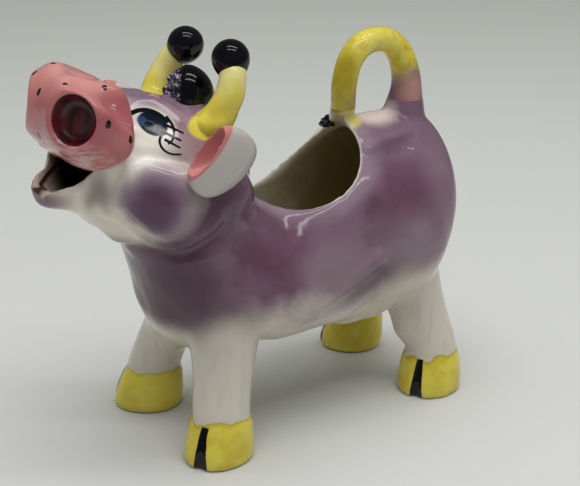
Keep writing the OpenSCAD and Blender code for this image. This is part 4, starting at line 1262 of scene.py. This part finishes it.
def makeStage(values):
    bm = bmesh.new()
    bmesh.ops.create_grid(bm, x_segments=1, y_segments=1, size=3.0)
    floor = toObject(bm, "floor", smooth=False)
    mat, tree, shader = newMaterial("floorPaper")
    coords = add(tree, "ShaderNodeTexCoord")
    away = vec2(tree, "DOT_PRODUCT", coords.outputs["Object"], (-0.825, 0.565, 0.0))
    # painted shade: the far floor is darker
    colour = mixColour(tree, ease(tree, away, 0.0, 0.75), values["floor"], values["far"])
    link(tree, colour, shader.inputs["Base Color"])
    shader.inputs["Roughness"].default_value = 0.55
    floor.data.materials.append(mat)


def areaLamp(name, spot, aim, size, power, colour=(1, 1, 1), turn=None):
    data = bpy.data.lights.new(name, "AREA")
    data.shape = "RECTANGLE"
    data.size, data.size_y = size
    data.energy = power
    data.color = colour
    lamp = bpy.data.objects.new(name, data)
    scene.collection.objects.link(lamp)
    lamp.location = Vector(spot)
    ahead = (Vector(aim) - Vector(spot)).normalized()
    lamp.rotation_mode = "QUATERNION"
    if turn is None:
        lamp.rotation_quaternion = ahead.to_track_quat("-Z", "Y")
    else:
        # the long side lies along the given direction
        side = Vector(turn).normalized()
        lamp.rotation_quaternion = Matrix((side, (-ahead).cross(side), -ahead)).transposed().to_quaternion()
    return lamp


def makeAir(values):
    world = bpy.data.worlds.new("studioAir")
    scene.world = world
    world.use_nodes = True
    tree = world.node_tree
    air = tree.nodes["Background"]
    air.inputs["Color"].default_value = values["air"]
    rays = add(tree, "ShaderNodeLightPath")
    mirrored = math2(tree, "MAXIMUM", rays.outputs["Is Glossy Ray"], rays.outputs["Is Transmission Ray"])
    dimmer = math2(tree, "MULTIPLY", mirrored, values["reflected"] - values["fill"])
    link(tree, math2(tree, "ADD", dimmer, values["fill"]), air.inputs["Strength"])


makeStage(studio)
# two ceiling tubes over the table and a broad soft panel that doesn't show in the glaze
tubes, panel = studio["tubes"], studio["panel"]
across = Vector((0.5645, 0.8254, 0))
towards = Vector((0.8254, -0.5645, 0))
for name, way in (("tubeNear", 0.5), ("tubeFar", -0.5)):
    spot = Vector(tubes["middle"]) + towards * way * tubes["gap"]
    areaLamp(name, spot, (spot.x, spot.y, 0), tubes["size"], tubes["power"], turn=across)
softPanel = areaLamp("panel", panel["middle"], (*panel["middle"][:2], 0), panel["size"], panel["power"], (1.0, 0.995, 0.98))
softPanel.visible_glossy = False
makeAir(studio)
